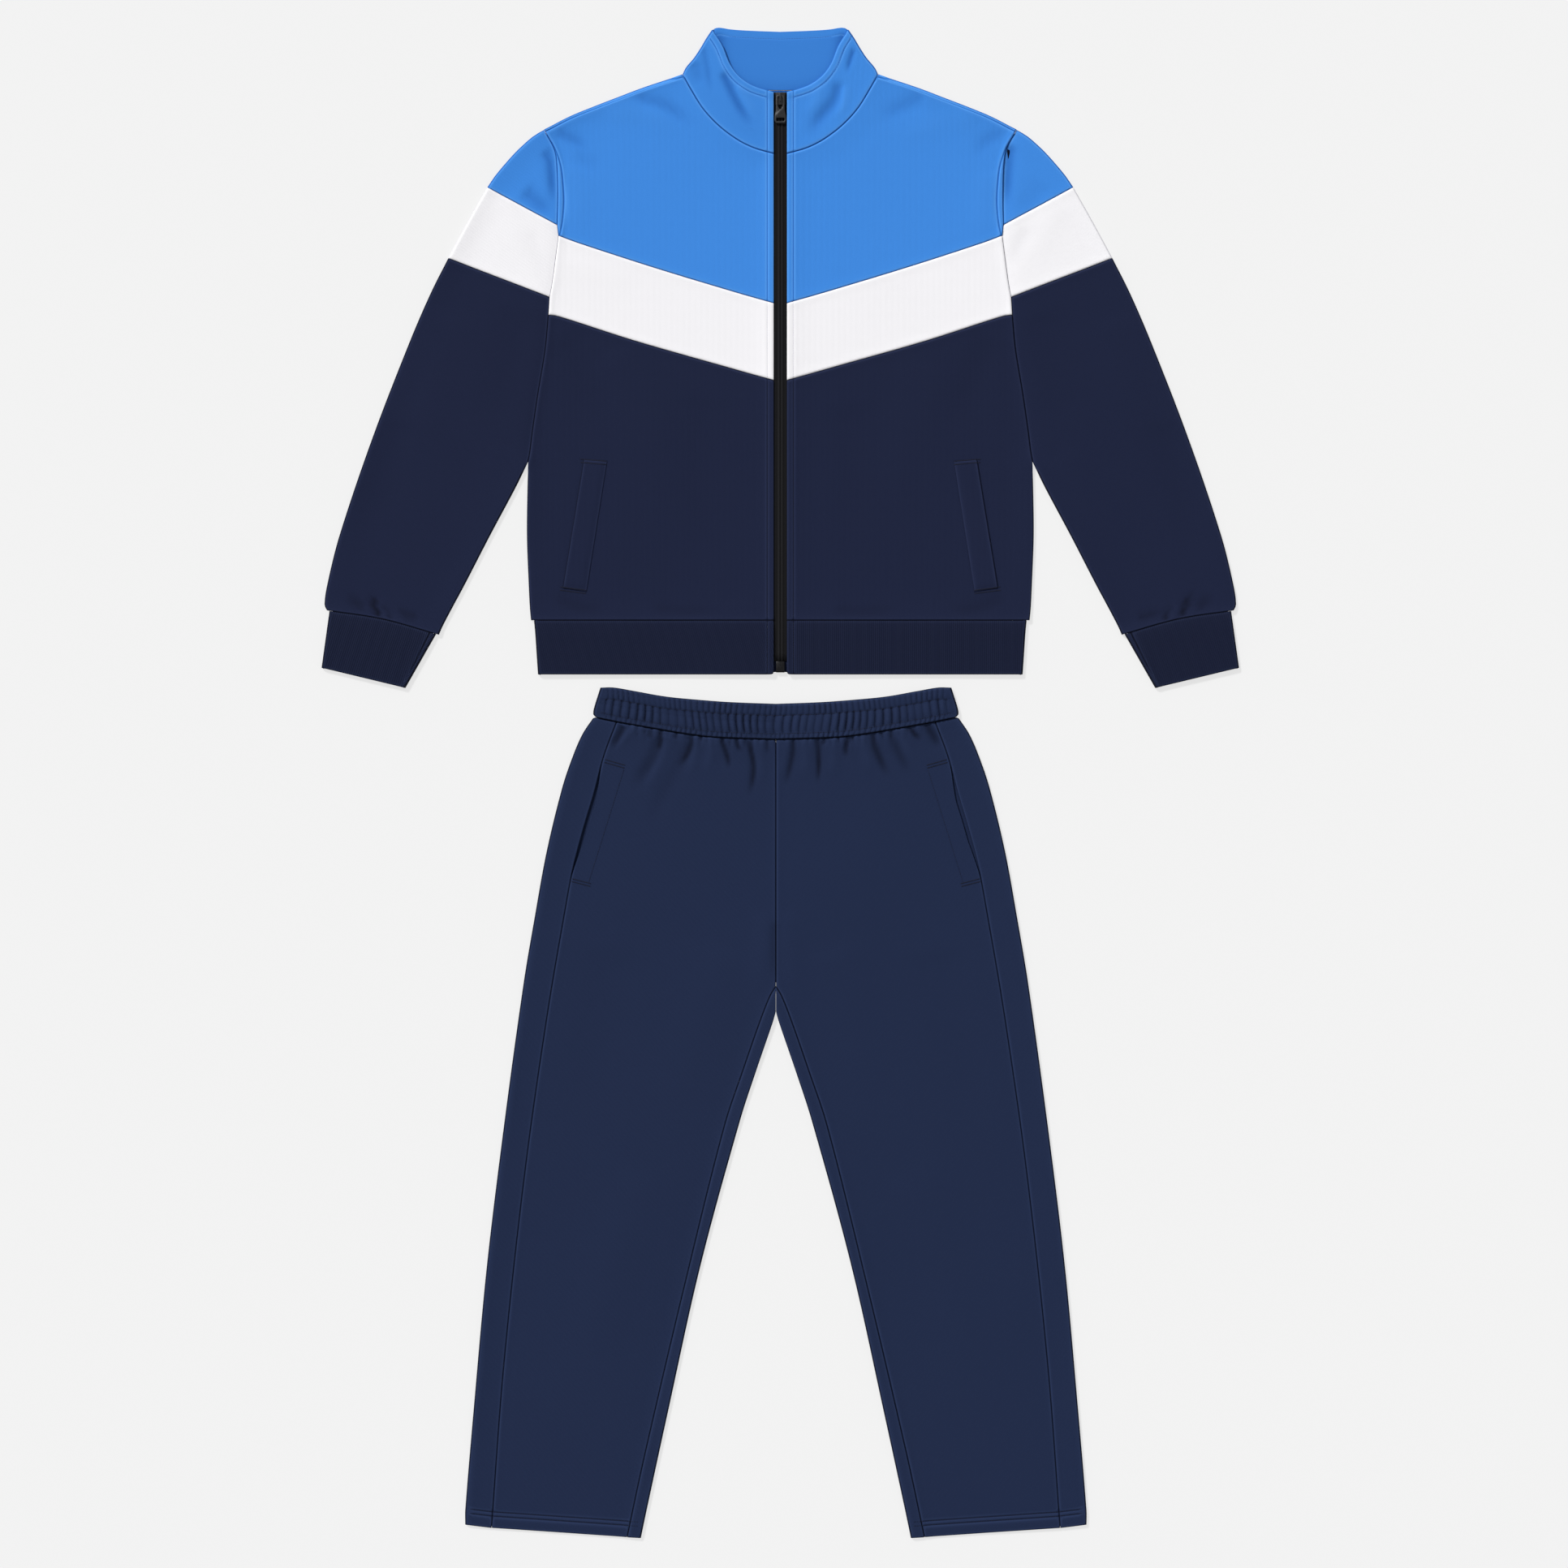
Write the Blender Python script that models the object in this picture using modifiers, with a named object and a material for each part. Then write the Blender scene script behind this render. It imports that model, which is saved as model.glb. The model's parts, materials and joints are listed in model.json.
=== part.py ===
"""A man's two-piece tracksuit laid flat on a surface: a zip jacket with a stand collar above, trousers below.

Tables and sizes are in millimetres, and the mesh is made in metres. X runs across the garments, Y runs up
from the trouser hems to the collar, and Z rises from the surface that the cloth lies on.
Each table gives the half at +X, which is the wearer's left. Its lines run outwards or upwards.
Each cloth piece is an open skin with a Solidify wall, and its lower layer lies flat on the surface.
"""

import math

import bmesh
import bpy
from mathutils import Vector

MM = 0.001

# Walls of single cloth, the doubled collar and bands, and the elastic waist.
CLOTH = 1.2
COLLAR_WALL = 2.0
BAND_WALL = 2.2
WAIST_WALL = 2.6
SEAM_GAP = 0.3
HALF_GAP = SEAM_GAP / 2

# Heights of the upper layer's outer face above the surface.
EDGE_HEIGHT = 5.6
MIDDLE_HEIGHT = 4.4
SETTLE_WIDTH = 30.0
BAND_HEIGHT = 6.3
WAIST_HEIGHT = 7.4
COLLAR_FOOT_HEIGHT = 6.2
COLLAR_MOUTH_HEIGHT = 7.2
ROLL_FOOT = CLOTH + SEAM_GAP
ROLL_RADIUS = 2.4

# The jacket's own origin is the zip line at the hem's lower edge. The trousers' is the middle of the waist,
# level with its upper corners.
JACKET_AT = (0.0, 126.8)
TROUSERS_AT = (-5.2, 111.6)

# Jacket body.
ZIP_HALF_GAP = 7.6
HEM_SEAM_Y = 63.5
NECK_POINT = (114.5, 702.0)
SHOULDER_POINT = (276.5, 637.5)
UNDERARM = (295.0, 249.2)
BODY_SIDE = [(291.7, HEM_SEAM_Y), (293.1, 77.2), (294.5, 105.7), (296.6, 162.7), (295.9, 219.7), UNDERARM]
SHOULDER_LINE = [NECK_POINT, (160.1, 687.1), (190.0, 675.7), (219.5, 664.3), (247.0, 652.9), SHOULDER_POINT]
NECK_SEAM = [(ZIP_HALF_GAP, 609.1), (30.9, 615.8), (49.9, 625.3), (71.7, 641.6), (90.3, 661.6), (103.6, 682.8), NECK_POINT]
BACK_NECK_SEAM = [(0.0, 683.5), (60.0, 685.0), (96.0, 691.0), NECK_POINT]
# The armhole from the underarm to the shoulder, cut where the seams of the body and the sleeve reach it.
ARMHOLE_TO_BODY_BAND = [UNDERARM, (293.1, 258.7), (290.2, 282.4), (283.6, 328.0), (275.0, 380.3), (271.2, 420.6)]
ARMHOLE_TO_SLEEVE_BAND = [(271.2, 420.6), (269.9, 441.5)]
ARMHOLE_TO_BODY_YOKE = [(269.9, 441.5), (267.0, 456.3), (259.4, 513.3)]
ARMHOLE_TO_SLEEVE_CAP = [(259.4, 513.3), (261.0, 525.9)]
ARMHOLE_TO_SHOULDER = [(261.0, 525.9), (260.3, 561.7), (261.3, 595.9), (264.1, 613.9), SHOULDER_POINT]
YOKE_SEAM = [(ZIP_HALF_GAP, 434.2), (54.2, 447.7), (148.2, 476.2), (236.1, 504.7), (259.4, 513.3)]
BAND_SEAM = [(ZIP_HALF_GAP, 344.1), (71.7, 362.2), (171.5, 390.7), (260.3, 419.2), (271.2, 420.6)]
BACK_SEAM_DROP = 2.2

# Hem band.
HEM_BAND_SIDE = [(283.6, 0.0), (285.0, 19.9), (286.9, 48.4), (288.3, HEM_SEAM_Y)]

# Sleeve and cuff.
CAP_OUTER = [(342.9, 570.0), (333.0, 584.5), (313.5, 607.3), (302.1, 618.7), (288.8, 630.1), SHOULDER_POINT]
BAND_OUTER = [(388.6, 487.1), (366.0, 529.0), (342.9, 570.0)]
LOWER_OUTER = [
    (530.5, 75.0),
    (533.4, 81.9),
    (530.1, 105.7),
    (515.9, 162.7),
    (477.4, 276.7),
    (433.2, 390.7),
    (408.5, 447.7),
    (388.6, 487.1),
]
SLEEVE_INNER = [(399.5, 46.5), (395.2, 56.3), (384.3, 77.2), (369.0, 105.7), (339.6, 162.7), (309.2, 219.7), UNDERARM]
CUFF_SEAM = [(399.5, 46.5), (465.3, 65.0), (530.5, 75.0)]
CUFF_STEP = 3.0
CUFF_INNER_END = (438.4, -15.9)
CUFF_OUTER_END = (536.8, 7.8)

# Collar: the fold at its side, the mouth's front edge and the back's top edge.
COLLAR_CORNER = (79.8, 754.5)
COLLAR_SIDE = [NECK_POINT, (110.7, 709.9), (101.2, 721.3), (93.6, 732.7), (86.9, 744.1), COLLAR_CORNER]
COLLAR_MOUTH = [(ZIP_HALF_GAP, 681.4), (19.0, 684.3), (34.2, 690.0), (48.5, 700.4), (58.9, 714.7), (67.5, 735.6), COLLAR_CORNER]
COLLAR_BACK_TOP = [(0.0, 752.1), (39.4, 753.6), (58.4, 755.0), (73.0, 757.0), COLLAR_CORNER]
# Rows: x, y, width, length and depth of the dents in the collar's front.
COLLAR_DENTS = [(45.0, 656.0, 12.0, 34.0, 0.9), (78.0, 690.0, 11.0, 30.0, 0.7)]

# Trousers.
WAIST_BOTTOM = [(0.0, -60.6), (70.3, -58.1), (105.5, -54.0), (147.3, -46.9), (186.2, -40.0), (211.0, -34.6)]
WAIST_TOP = [(0.0, -18.9), (53.2, -16.9), (91.2, -14.1), (129.2, -10.3), (167.2, -3.6), (190.0, 0.2), (205.4, 0.0)]
WAIST_SIDE = [(211.0, -34.6), (213.8, -31.2), (212.8, -23.6), (208.1, -8.4), (205.4, 0.0)]
LEG_OUTER = [
    (363.4, -979.0),
    (363.4, -962.2),
    (353.9, -848.2),
    (338.2, -677.2),
    (317.3, -506.2),
    (295.0, -344.7),
    (282.2, -268.7),
    (268.4, -192.7),
    (249.9, -116.7),
    (237.0, -78.7),
    (226.1, -54.0),
    (213.5, -35.1),
]
HEM_LINE = [(157.9, -994.7), (240.0, -989.5), (320.0, -984.0), (363.4, -979.0)]
CROTCH = (0.0, -378.9)
FRONT_CROTCH = (0.0, -349.4)
LEG_INNER = [(157.9, -994.7), (151.1, -962.2), (126.4, -848.2), (88.4, -677.2), (41.8, -506.2), (23.3, -449.2), (3.8, -392.2), CROTCH]
IN_SEAM = [(174.0, -993.8), (153.0, -896.0), (106.0, -696.0), (60.0, -512.0), (39.0, -449.2), (18.5, -390.3), (6.7, -360.4), FRONT_CROTCH]
SIDE_SEAM = [
    (332.5, -983.0),
    (318.0, -791.2),
    (293.0, -563.2),
    (267.0, -381.0),
    (245.6, -255.4),
    (237.5, -212.6),
    (224.2, -162.3),
    (212.8, -124.3),
    (201.4, -80.6),
    (186.2, -40.0),
]
# Heights of the rows that cross a leg: five lines each run from the hem, by the crotch, to the waist.
ROWS_TO_CROTCH = {
    "outer": [-979.0, -920.0, -845.0, -765.0, -685.0, -600.0, -515.0, -435.0, -360.0, -296.0],
    "side": [-983.0, -924.0, -849.0, -769.0, -689.0, -604.0, -519.0, -439.0, -364.0, -298.0],
    "inner": [-994.7, -938.0, -863.0, -783.0, -699.0, -614.0, -530.0, -460.0, -405.0, -378.9],
    "inseam": [-993.8, -936.0, -861.0, -781.0, -697.0, -610.0, -522.0, -440.0, -375.0, -349.4],
}
ROWS_TO_WAIST = {
    "outer": [-260.0, -222.0, -176.0, -129.0, -84.0, -62.0, -46.0, -35.1],
    "side": [-262.0, -225.0, -179.0, -132.0, -88.0, -66.0, -50.0, -40.0],
    "centre_back": [-318.0, -252.0, -194.0, -150.0, -113.0, -89.0, -73.0, -60.6],
    "centre_front": [-288.0, -232.0, -184.0, -145.0, -111.0, -88.0, -72.0, -60.6],
}
# How far the front edge stands back from the side seam on each of the rows to the waist: the pocket's mouth.
POCKET_SET_BACK = [0.0, 0.0, 4.4, 4.6, 0.0, 0.0, 0.0, 0.0]

# Gathers across the front of the waist, and soft folds that run down from them.
GATHERS_A_SIDE = 23
GATHER_RISE = 0.7
# Rows: x at the waist seam, length down the leg, and rise (a ridge) or fall (a trough).
LEG_FOLDS = [
    (14.0, 60.0, -0.7),
    (29.0, 48.0, 0.6),
    (44.0, 84.0, -0.7),
    (59.0, 52.0, 0.5),
    (74.0, 66.0, -0.6),
    (90.0, 58.0, 0.6),
    (106.0, 88.0, -0.7),
    (122.0, 62.0, 0.6),
    (138.0, 92.0, -0.6),
    (154.0, 60.0, 0.6),
    (170.0, 70.0, -0.5),
]

# Jacket pocket welts: the mouth's line, the inner line and the strip's wall.
WELT_MOUTH = [(254.6, 101.0), (229.9, 252.0)]
WELT_INNER = [(226.6, 96.7), (202.4, 250.1)]
WELT_WALL = 1.4

# Zip, slider and pull tab.
TAPE_EDGE = 20.0
TAPE_WALL = 0.6
TAPE_LOW = 3.1
CHAIN_HALF_WIDTH = 3.0
CHAIN_LOW = 2.5
CHAIN_WALL = 1.8
ZIP_HEAD = 681.0
BOX_ENDS = (2.4, 15.4)
BOX_HALF_WIDTH = 5.0
BOX_LOW = 2.5
BOX_WALL = 2.6
SLIDER_ENDS = (666.2, 680.4)
SLIDER_HALF_WIDTH = 5.6
SLIDER_LOW = 1.6
SLIDER_TOP = 5.8
SLIDER_THROAT_END = 677.6
POST_HALF_WIDTH = 1.6
CROWN_HALF_WIDTH = 1.0
CROWN_ENDS = (669.8, 679.6)
CROWN_TOP = 8.4
CROWN_HOLE = (671.4, 678.0, 6.0, 7.8)
PIVOT = (0.0, 676.4, 6.9)
TAB_WALL = 1.2
TAB_OUTLINE = [(3.8, 0.6), (4.9, -0.8), (5.1, -17.0), (6.5, -23.6), (6.8, -28.8), (5.2, -32.0)]
TAB_EYE = [(1.6, -0.6), (3.1, -3.0), (3.0, -11.0), (1.4, -15.2)]
TAB_SLOT = [(4.6, -25.6), (5.0, -27.6), (4.6, -29.6)]

# Linear colours.
BLUE = (0.052, 0.250, 0.730)
WHITE = (0.880, 0.875, 0.900)
NAVY = (0.0130, 0.0180, 0.0520)
LEG_NAVY = (0.0152, 0.0250, 0.0670)
ZIP_BLACK = (0.020, 0.018, 0.017)
DARK_METAL = (0.045, 0.045, 0.048)


def clear_scene():
    for obj in list(bpy.data.objects):
        bpy.data.objects.remove(obj)


def material(name, colour, roughness, metallic=0.0):
    made = bpy.data.materials.new(name)
    made.use_nodes = True
    shader = made.node_tree.nodes["Principled BSDF"]
    shader.inputs["Base Color"].default_value = (*colour, 1.0)
    shader.inputs["Roughness"].default_value = roughness
    shader.inputs["Metallic"].default_value = metallic
    return made


# Plan lines.
def smooth(points, steps=8):
    """Points along a smooth curve through the given ones."""
    knots = [Vector(p) for p in points]
    if len(knots) == 2:
        return knots
    ends = [2 * knots[0] - knots[1], *knots, 2 * knots[-1] - knots[-2]]
    line = []
    for before, a, b, after in zip(ends, ends[1:], ends[2:], ends[3:]):
        span = (b - a).length
        leave = (b - before) * (span / ((a - before).length + span))
        reach = (after - a) * (span / ((after - b).length + span))
        for k in range(steps):
            t = k / steps
            line.append(
                a * (2 * t**3 - 3 * t**2 + 1)
                + leave * (t**3 - 2 * t**2 + t)
                + b * (3 * t**2 - 2 * t**3)
                + reach * (t**3 - t**2)
            )
    return line + [knots[-1]]


def stations(line):
    """Each point's share of the line's length."""
    reach = [0.0]
    for a, b in zip(line, line[1:]):
        reach.append(reach[-1] + (b - a).length)
    return [r / reach[-1] for r in reach]


def pick(line, share):
    """The point at a share of the line's length."""
    marks = stations(line)
    for k in range(len(line) - 1):
        if share <= marks[k + 1] or k == len(line) - 2:
            return line[k].lerp(line[k + 1], (share - marks[k]) / (marks[k + 1] - marks[k]))


def split(points, spans):
    """Evenly spaced points along the smooth curve."""
    line = smooth(points)
    return [pick(line, k / spans) for k in range(spans + 1)]


def at_heights(points, heights):
    """The smooth curve's points at given heights, which rise along it."""
    line = smooth(points)
    found = []
    for y in heights:
        k = next((k for k in range(len(line) - 1) if line[k + 1].y >= y), len(line) - 2)
        share = (y - line[k].y) / (line[k + 1].y - line[k].y)
        found.append(line[k].lerp(line[k + 1], min(max(share, 0.0), 1.0)))
    return found


def at_crossings(points, xs):
    """The smooth curve's points at given distances from the middle."""
    turned = [(y, x) for x, y in points]
    return [Vector((p.y, p.x)) for p in at_heights(turned, xs)]


def joined(*lines):
    """One line through several that share their end points."""
    line = list(lines[0])
    for more in lines[1:]:
        line += more[1:]
    return line


def moved(line, distance):
    """The line moved to its own left by a distance."""
    out = []
    for k, point in enumerate(line):
        back = (point - line[k - 1]).normalized() if k else None
        ahead = (line[k + 1] - point).normalized() if k < len(line) - 1 else None
        first, second = back or ahead, ahead or back
        normal = Vector((-first.y - second.y, first.x + second.x))
        out.append(point + normal * (distance / (1 + first.dot(second))))
    return out


def crossing(a, b, c, d):
    """Where the line through a and b meets the line through c and d, or midway between a and c."""
    one, two = b - a, d - c
    turn = one.x * two.y - one.y * two.x
    if abs(turn) < 0.2 * one.length * two.length:
        return (a + c) / 2
    gap = c - a
    return a + one * ((gap.x * two.y - gap.y * two.x) / turn)


def drawn_in(bottom, top, left, right):
    """The four lines of a piece's outline, each moved in by half the seam gap."""
    lines = [moved(bottom, HALF_GAP), moved(top, -HALF_GAP), moved(left, -HALF_GAP), moved(right, HALF_GAP)]
    b, t, l, r = lines
    b[0] = l[0] = crossing(b[0], b[1], l[0], l[1])
    b[-1] = r[0] = crossing(b[-1], b[-2], r[0], r[1])
    t[0] = l[-1] = crossing(t[0], t[1], l[-1], l[-2])
    t[-1] = r[-1] = crossing(t[-1], t[-2], r[-1], r[-2])
    return lines


def mapped(bottom, top, left, right):
    """Rows of plan points that fill the area between four lines."""
    sb, st, sl, sr = stations(bottom), stations(top), stations(left), stations(right)
    rows = []
    for j in range(len(left)):
        row = []
        for i in range(len(bottom)):
            u, v = (sb[i] + st[i]) / 2, (sl[j] + sr[j]) / 2
            for _ in range(3):
                u = sb[i] + (st[i] - sb[i]) * v
                v = sl[j] + (sr[j] - sl[j]) * u
            lower = bottom[0] * (1 - u) + bottom[-1] * u
            upper = top[0] * (1 - u) + top[-1] * u
            across = left[j] * (1 - u) + right[j] * u
            along = bottom[i] * (1 - v) + top[i] * v
            row.append(across + along - lower * (1 - v) - upper * v)
        rows.append(row)
    return rows


def ease(share):
    share = min(max(share, 0.0), 1.0)
    return share * share * (3 - 2 * share)


def distance(point, line):
    """The plan distance from a point to a line."""
    best = 1e9
    for a, b in zip(line, line[1:]):
        span = b - a
        share = min(max((point - a).dot(span) / span.length_squared, 0.0), 1.0)
        best = min(best, (point - a - span * share).length)
    return best


# Heights of the upper layer.
JACKET_RIMS = [
    split(line, 6)
    for line in (
        BODY_SIDE,
        SHOULDER_LINE,
        NECK_SEAM,
        CAP_OUTER,
        BAND_OUTER,
        LOWER_OUTER,
        SLEEVE_INNER,
        CUFF_SEAM,
        [(0.0, HEM_SEAM_Y), (291.7, HEM_SEAM_Y)],
        [(ZIP_HALF_GAP, HEM_SEAM_Y), (ZIP_HALF_GAP, 609.1)],
    )
]
LEG_RIMS = [split(line, 12) for line in (LEG_OUTER, LEG_INNER, WAIST_BOTTOM)]


def settled(point, rims):
    """Full at the garment's rims, and lying lower away from them."""
    away = min(distance(point, rim) for rim in rims)
    return EDGE_HEIGHT + (MIDDLE_HEIGHT - EDGE_HEIGHT) * ease(away / SETTLE_WIDTH)


def jacket_layer(points):
    return [Vector((*p, settled(p, JACKET_RIMS))) for p in points]


def leg_layer(points):
    return [Vector((*p, settled(p, LEG_RIMS))) for p in points]


def level(points, height):
    return [Vector((*p, height)) for p in points]


# Section profiles. A row of an upper layer runs towards its edge.
def roll_down(row, follow=1.0):
    """The row's end turned down to the layer below where follow is 1, and left level where it is 0."""
    edge, before = row[-1], row[-2]
    inward = (before - edge).xy.normalized()
    high = edge.z
    bend = ROLL_RADIUS * (1 - math.sqrt(0.5))
    rolled = [(ROLL_RADIUS, high), (bend, high - bend), (0.0, high - ROLL_RADIUS), (0.0, ROLL_FOOT)]
    flat = [(ROLL_RADIUS * (3 - k) / 3, high) for k in range(4)]
    turned = []
    for (d, z), (flat_d, flat_z) in zip(rolled, flat):
        d, z = flat_d + (d - flat_d) * follow, flat_z + (z - flat_z) * follow
        turned.append(Vector((*(edge.xy + inward * d), z)))
    return row[:-1] + turned


def fold(edge, above, below):
    """A half turn at an edge, from the upper layer that runs on above to the lower layer that runs on below."""
    radius = edge.z / 2
    turned = []
    for k in range(5):
        inward = ((above if k < 3 else below).xy - edge.xy).normalized()
        angle = math.pi * k / 4
        d, z = radius * (1 - math.sin(angle)), radius * (1 + math.cos(angle))
        turned.append(Vector((*(edge.xy + inward * d), z)))
    return turned


def folded(row, lower):
    """The upper layer's row, a fold at its end, and the lower layer's plan points on the surface."""
    return row[:-1] + fold(row[-1], row[-2], lower[0]) + level(lower, 0.0)


def mirror(points):
    return [Vector((-p.x, *p[1:])) for p in points]


def both_halves(half):
    """A row from the zip round to the middle of the back, and on to the other half."""
    return half + mirror(reversed(half[:-1]))


# Bodies.
def skin(name, grids, wall, finish, collection, origin, side=1):
    """Grids of points, welded where they meet and thickened inwards to a wall."""
    bm = bmesh.new()
    for rows in grids:
        made = bmesh.ops.create_grid(bm, x_segments=len(rows[0]) - 1, y_segments=len(rows) - 1, size=1.0)
        verts = sorted(made["verts"], key=lambda v: (round(v.co.y, 4), round(v.co.x, 4)))
        for vert, point in zip(verts, (p for row in rows for p in row)):
            vert.co = Vector((origin[0] + side * point.x, origin[1] + point.y, point.z)) * MM
    bmesh.ops.remove_doubles(bm, verts=bm.verts[:], dist=0.02 * MM)
    bmesh.ops.recalc_face_normals(bm, faces=bm.faces[:])
    heights = [v.co.z for v in bm.verts]
    middle = (min(heights) + max(heights)) / 2
    upward = sum(f.calc_area() * f.normal.z for f in bm.faces if f.calc_center_median().z > middle)
    if upward < 0:
        bmesh.ops.reverse_faces(bm, faces=bm.faces[:])
    mesh = bpy.data.meshes.new(name)
    bm.to_mesh(mesh)
    bm.free()
    mesh.shade_smooth()
    mesh.materials.append(finish)
    obj = bpy.data.objects.new(name, mesh)
    collection.objects.link(obj)
    thicken = obj.modifiers.new("cloth", "SOLIDIFY")
    thicken.thickness = wall * MM
    thicken.offset = -1.0
    thicken.use_even_offset = True
    return obj


def plate(name, outlines, wall, low, finish, collection, at):
    """A flat layer cut to a plan outline, with any holes as further outlines."""
    data = bpy.data.curves.new(name, "CURVE")
    data.dimensions = "2D"
    data.fill_mode = "BOTH"
    data.extrude = wall / 2 * MM
    for outline in outlines:
        spline = data.splines.new("POLY")
        spline.points.add(len(outline) - 1)
        for knot, point in zip(spline.points, outline):
            knot.co = (point[0] * MM, point[1] * MM, 0.0, 1.0)
        spline.use_cyclic_u = True
    data.materials.append(finish)
    obj = bpy.data.objects.new(name, data)
    obj.location = (at[0] * MM, at[1] * MM, (low + wall / 2) * MM)
    collection.objects.link(obj)
    return obj


def box(name, low, high, finish, collection, at=JACKET_AT):
    """A block between two corners."""
    bm = bmesh.new()
    bmesh.ops.create_cube(bm, size=1.0)
    for vert in bm.verts:
        place = [low[k] + (high[k] - low[k]) * (vert.co[k] + 0.5) for k in range(3)]
        vert.co = (Vector(place) + Vector((*at, 0.0))) * MM
    mesh = bpy.data.meshes.new(name)
    bm.to_mesh(mesh)
    bm.free()
    if finish:
        mesh.materials.append(finish)
    obj = bpy.data.objects.new(name, mesh)
    collection.objects.link(obj)
    return obj


def combine(obj, tool, operation):
    tool.hide_render = True
    tool.display_type = "WIRE"
    step = obj.modifiers.new(tool.name, "BOOLEAN")
    step.object = tool
    step.operation = operation
    step.solver = "EXACT"


# Jacket.
def jacket_fronts(side, word, finishes, collection):
    hem = split([(ZIP_HALF_GAP, HEM_SEAM_Y), BODY_SIDE[0]], 12)
    band_seam, yoke_seam = split(BAND_SEAM, 12), split(YOKE_SEAM, 12)
    edge = {
        "lower": split([(ZIP_HALF_GAP, HEM_SEAM_Y), (ZIP_HALF_GAP, 344.1)], 12),
        "band": split([(ZIP_HALF_GAP, 344.1), (ZIP_HALF_GAP, 434.2)], 4),
        "yoke": split([(ZIP_HALF_GAP, 434.2), (ZIP_HALF_GAP, 609.1)], 9),
    }
    outer = joined(split(BODY_SIDE, 6), ARMHOLE["body_lower"])
    plan = mapped(*drawn_in(hem, band_seam, edge["lower"], outer))
    rows = [roll_down(jacket_layer(row), 1.0 if j < 6 else 0.0) for j, row in enumerate(plan)]
    skin(f"jacket_front_lower_{word}", [rows], CLOTH, finishes["navy"], collection, JACKET_AT, side)

    plan = mapped(*drawn_in(band_seam, yoke_seam, edge["band"], ARMHOLE["body_band"]))
    rows = [jacket_layer(row) for row in plan]
    skin(f"jacket_front_band_{word}", [rows], CLOTH, finishes["white"], collection, JACKET_AT, side)

    top = joined(split(NECK_SEAM, 6), split(SHOULDER_LINE, 6))
    plan = mapped(*drawn_in(yoke_seam, top, edge["yoke"], ARMHOLE["body_yoke"]))
    columns = [jacket_layer(column) for column in zip(*plan)]
    columns = [roll_down(column, 1.0 if i > 6 else 0.0) for i, column in enumerate(columns)]
    skin(f"jacket_front_yoke_{word}", [columns], CLOTH, finishes["blue"], collection, JACKET_AT, side)


def jacket_backs(finishes, collection):
    """Three flat pieces, each right across the back."""

    def seam(points):
        line = split(points, 12)
        return [Vector((0.0, line[0].y - BACK_SEAM_DROP)), *line]

    band_seam, yoke_seam = seam(BAND_SEAM), seam(YOKE_SEAM)
    side = joined(split(BODY_SIDE, 6), ARMHOLE["body_lower"])
    shoulder = joined(ARMHOLE["body_yoke"], split(SHOULDER_LINE, 6)[::-1])
    pieces = {
        "lower": (split([(0.0, HEM_SEAM_Y), BODY_SIDE[0]], 2), side, band_seam, "navy"),
        "band": (band_seam, ARMHOLE["body_band"], yoke_seam, "white"),
        "yoke": (yoke_seam, shoulder, split(BACK_NECK_SEAM, 6), "blue"),
    }
    for word, (bottom, outer, top, finish) in pieces.items():
        b, t, r = moved(bottom, HALF_GAP), moved(top, -HALF_GAP), moved(outer, HALF_GAP)
        b[-1] = r[0] = crossing(b[-1], b[-2], r[0], r[1])
        t[-1] = r[-1] = crossing(t[-1], t[-2], r[-1], r[-2])
        b[0].x = t[0].x = 0.0
        half = joined(b, r, t[::-1])
        outline = half + mirror(half[-2:0:-1])
        plate(f"jacket_back_{word}", [outline], CLOTH, 0.0, finishes[finish], collection, JACKET_AT)


def sleeve_piece(name, plan, follow, finish, collection, side):
    """A sleeve piece folded at its outer edge, with its inner edges on each other."""
    rows = []
    for row, turn in zip(plan, follow):
        upper = roll_down(jacket_layer(row)[::-1], turn)[::-1]
        rows.append(folded(upper, row[-2::-1]))
    skin(name, [rows], CLOTH, finish, collection, JACKET_AT, side)


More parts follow.
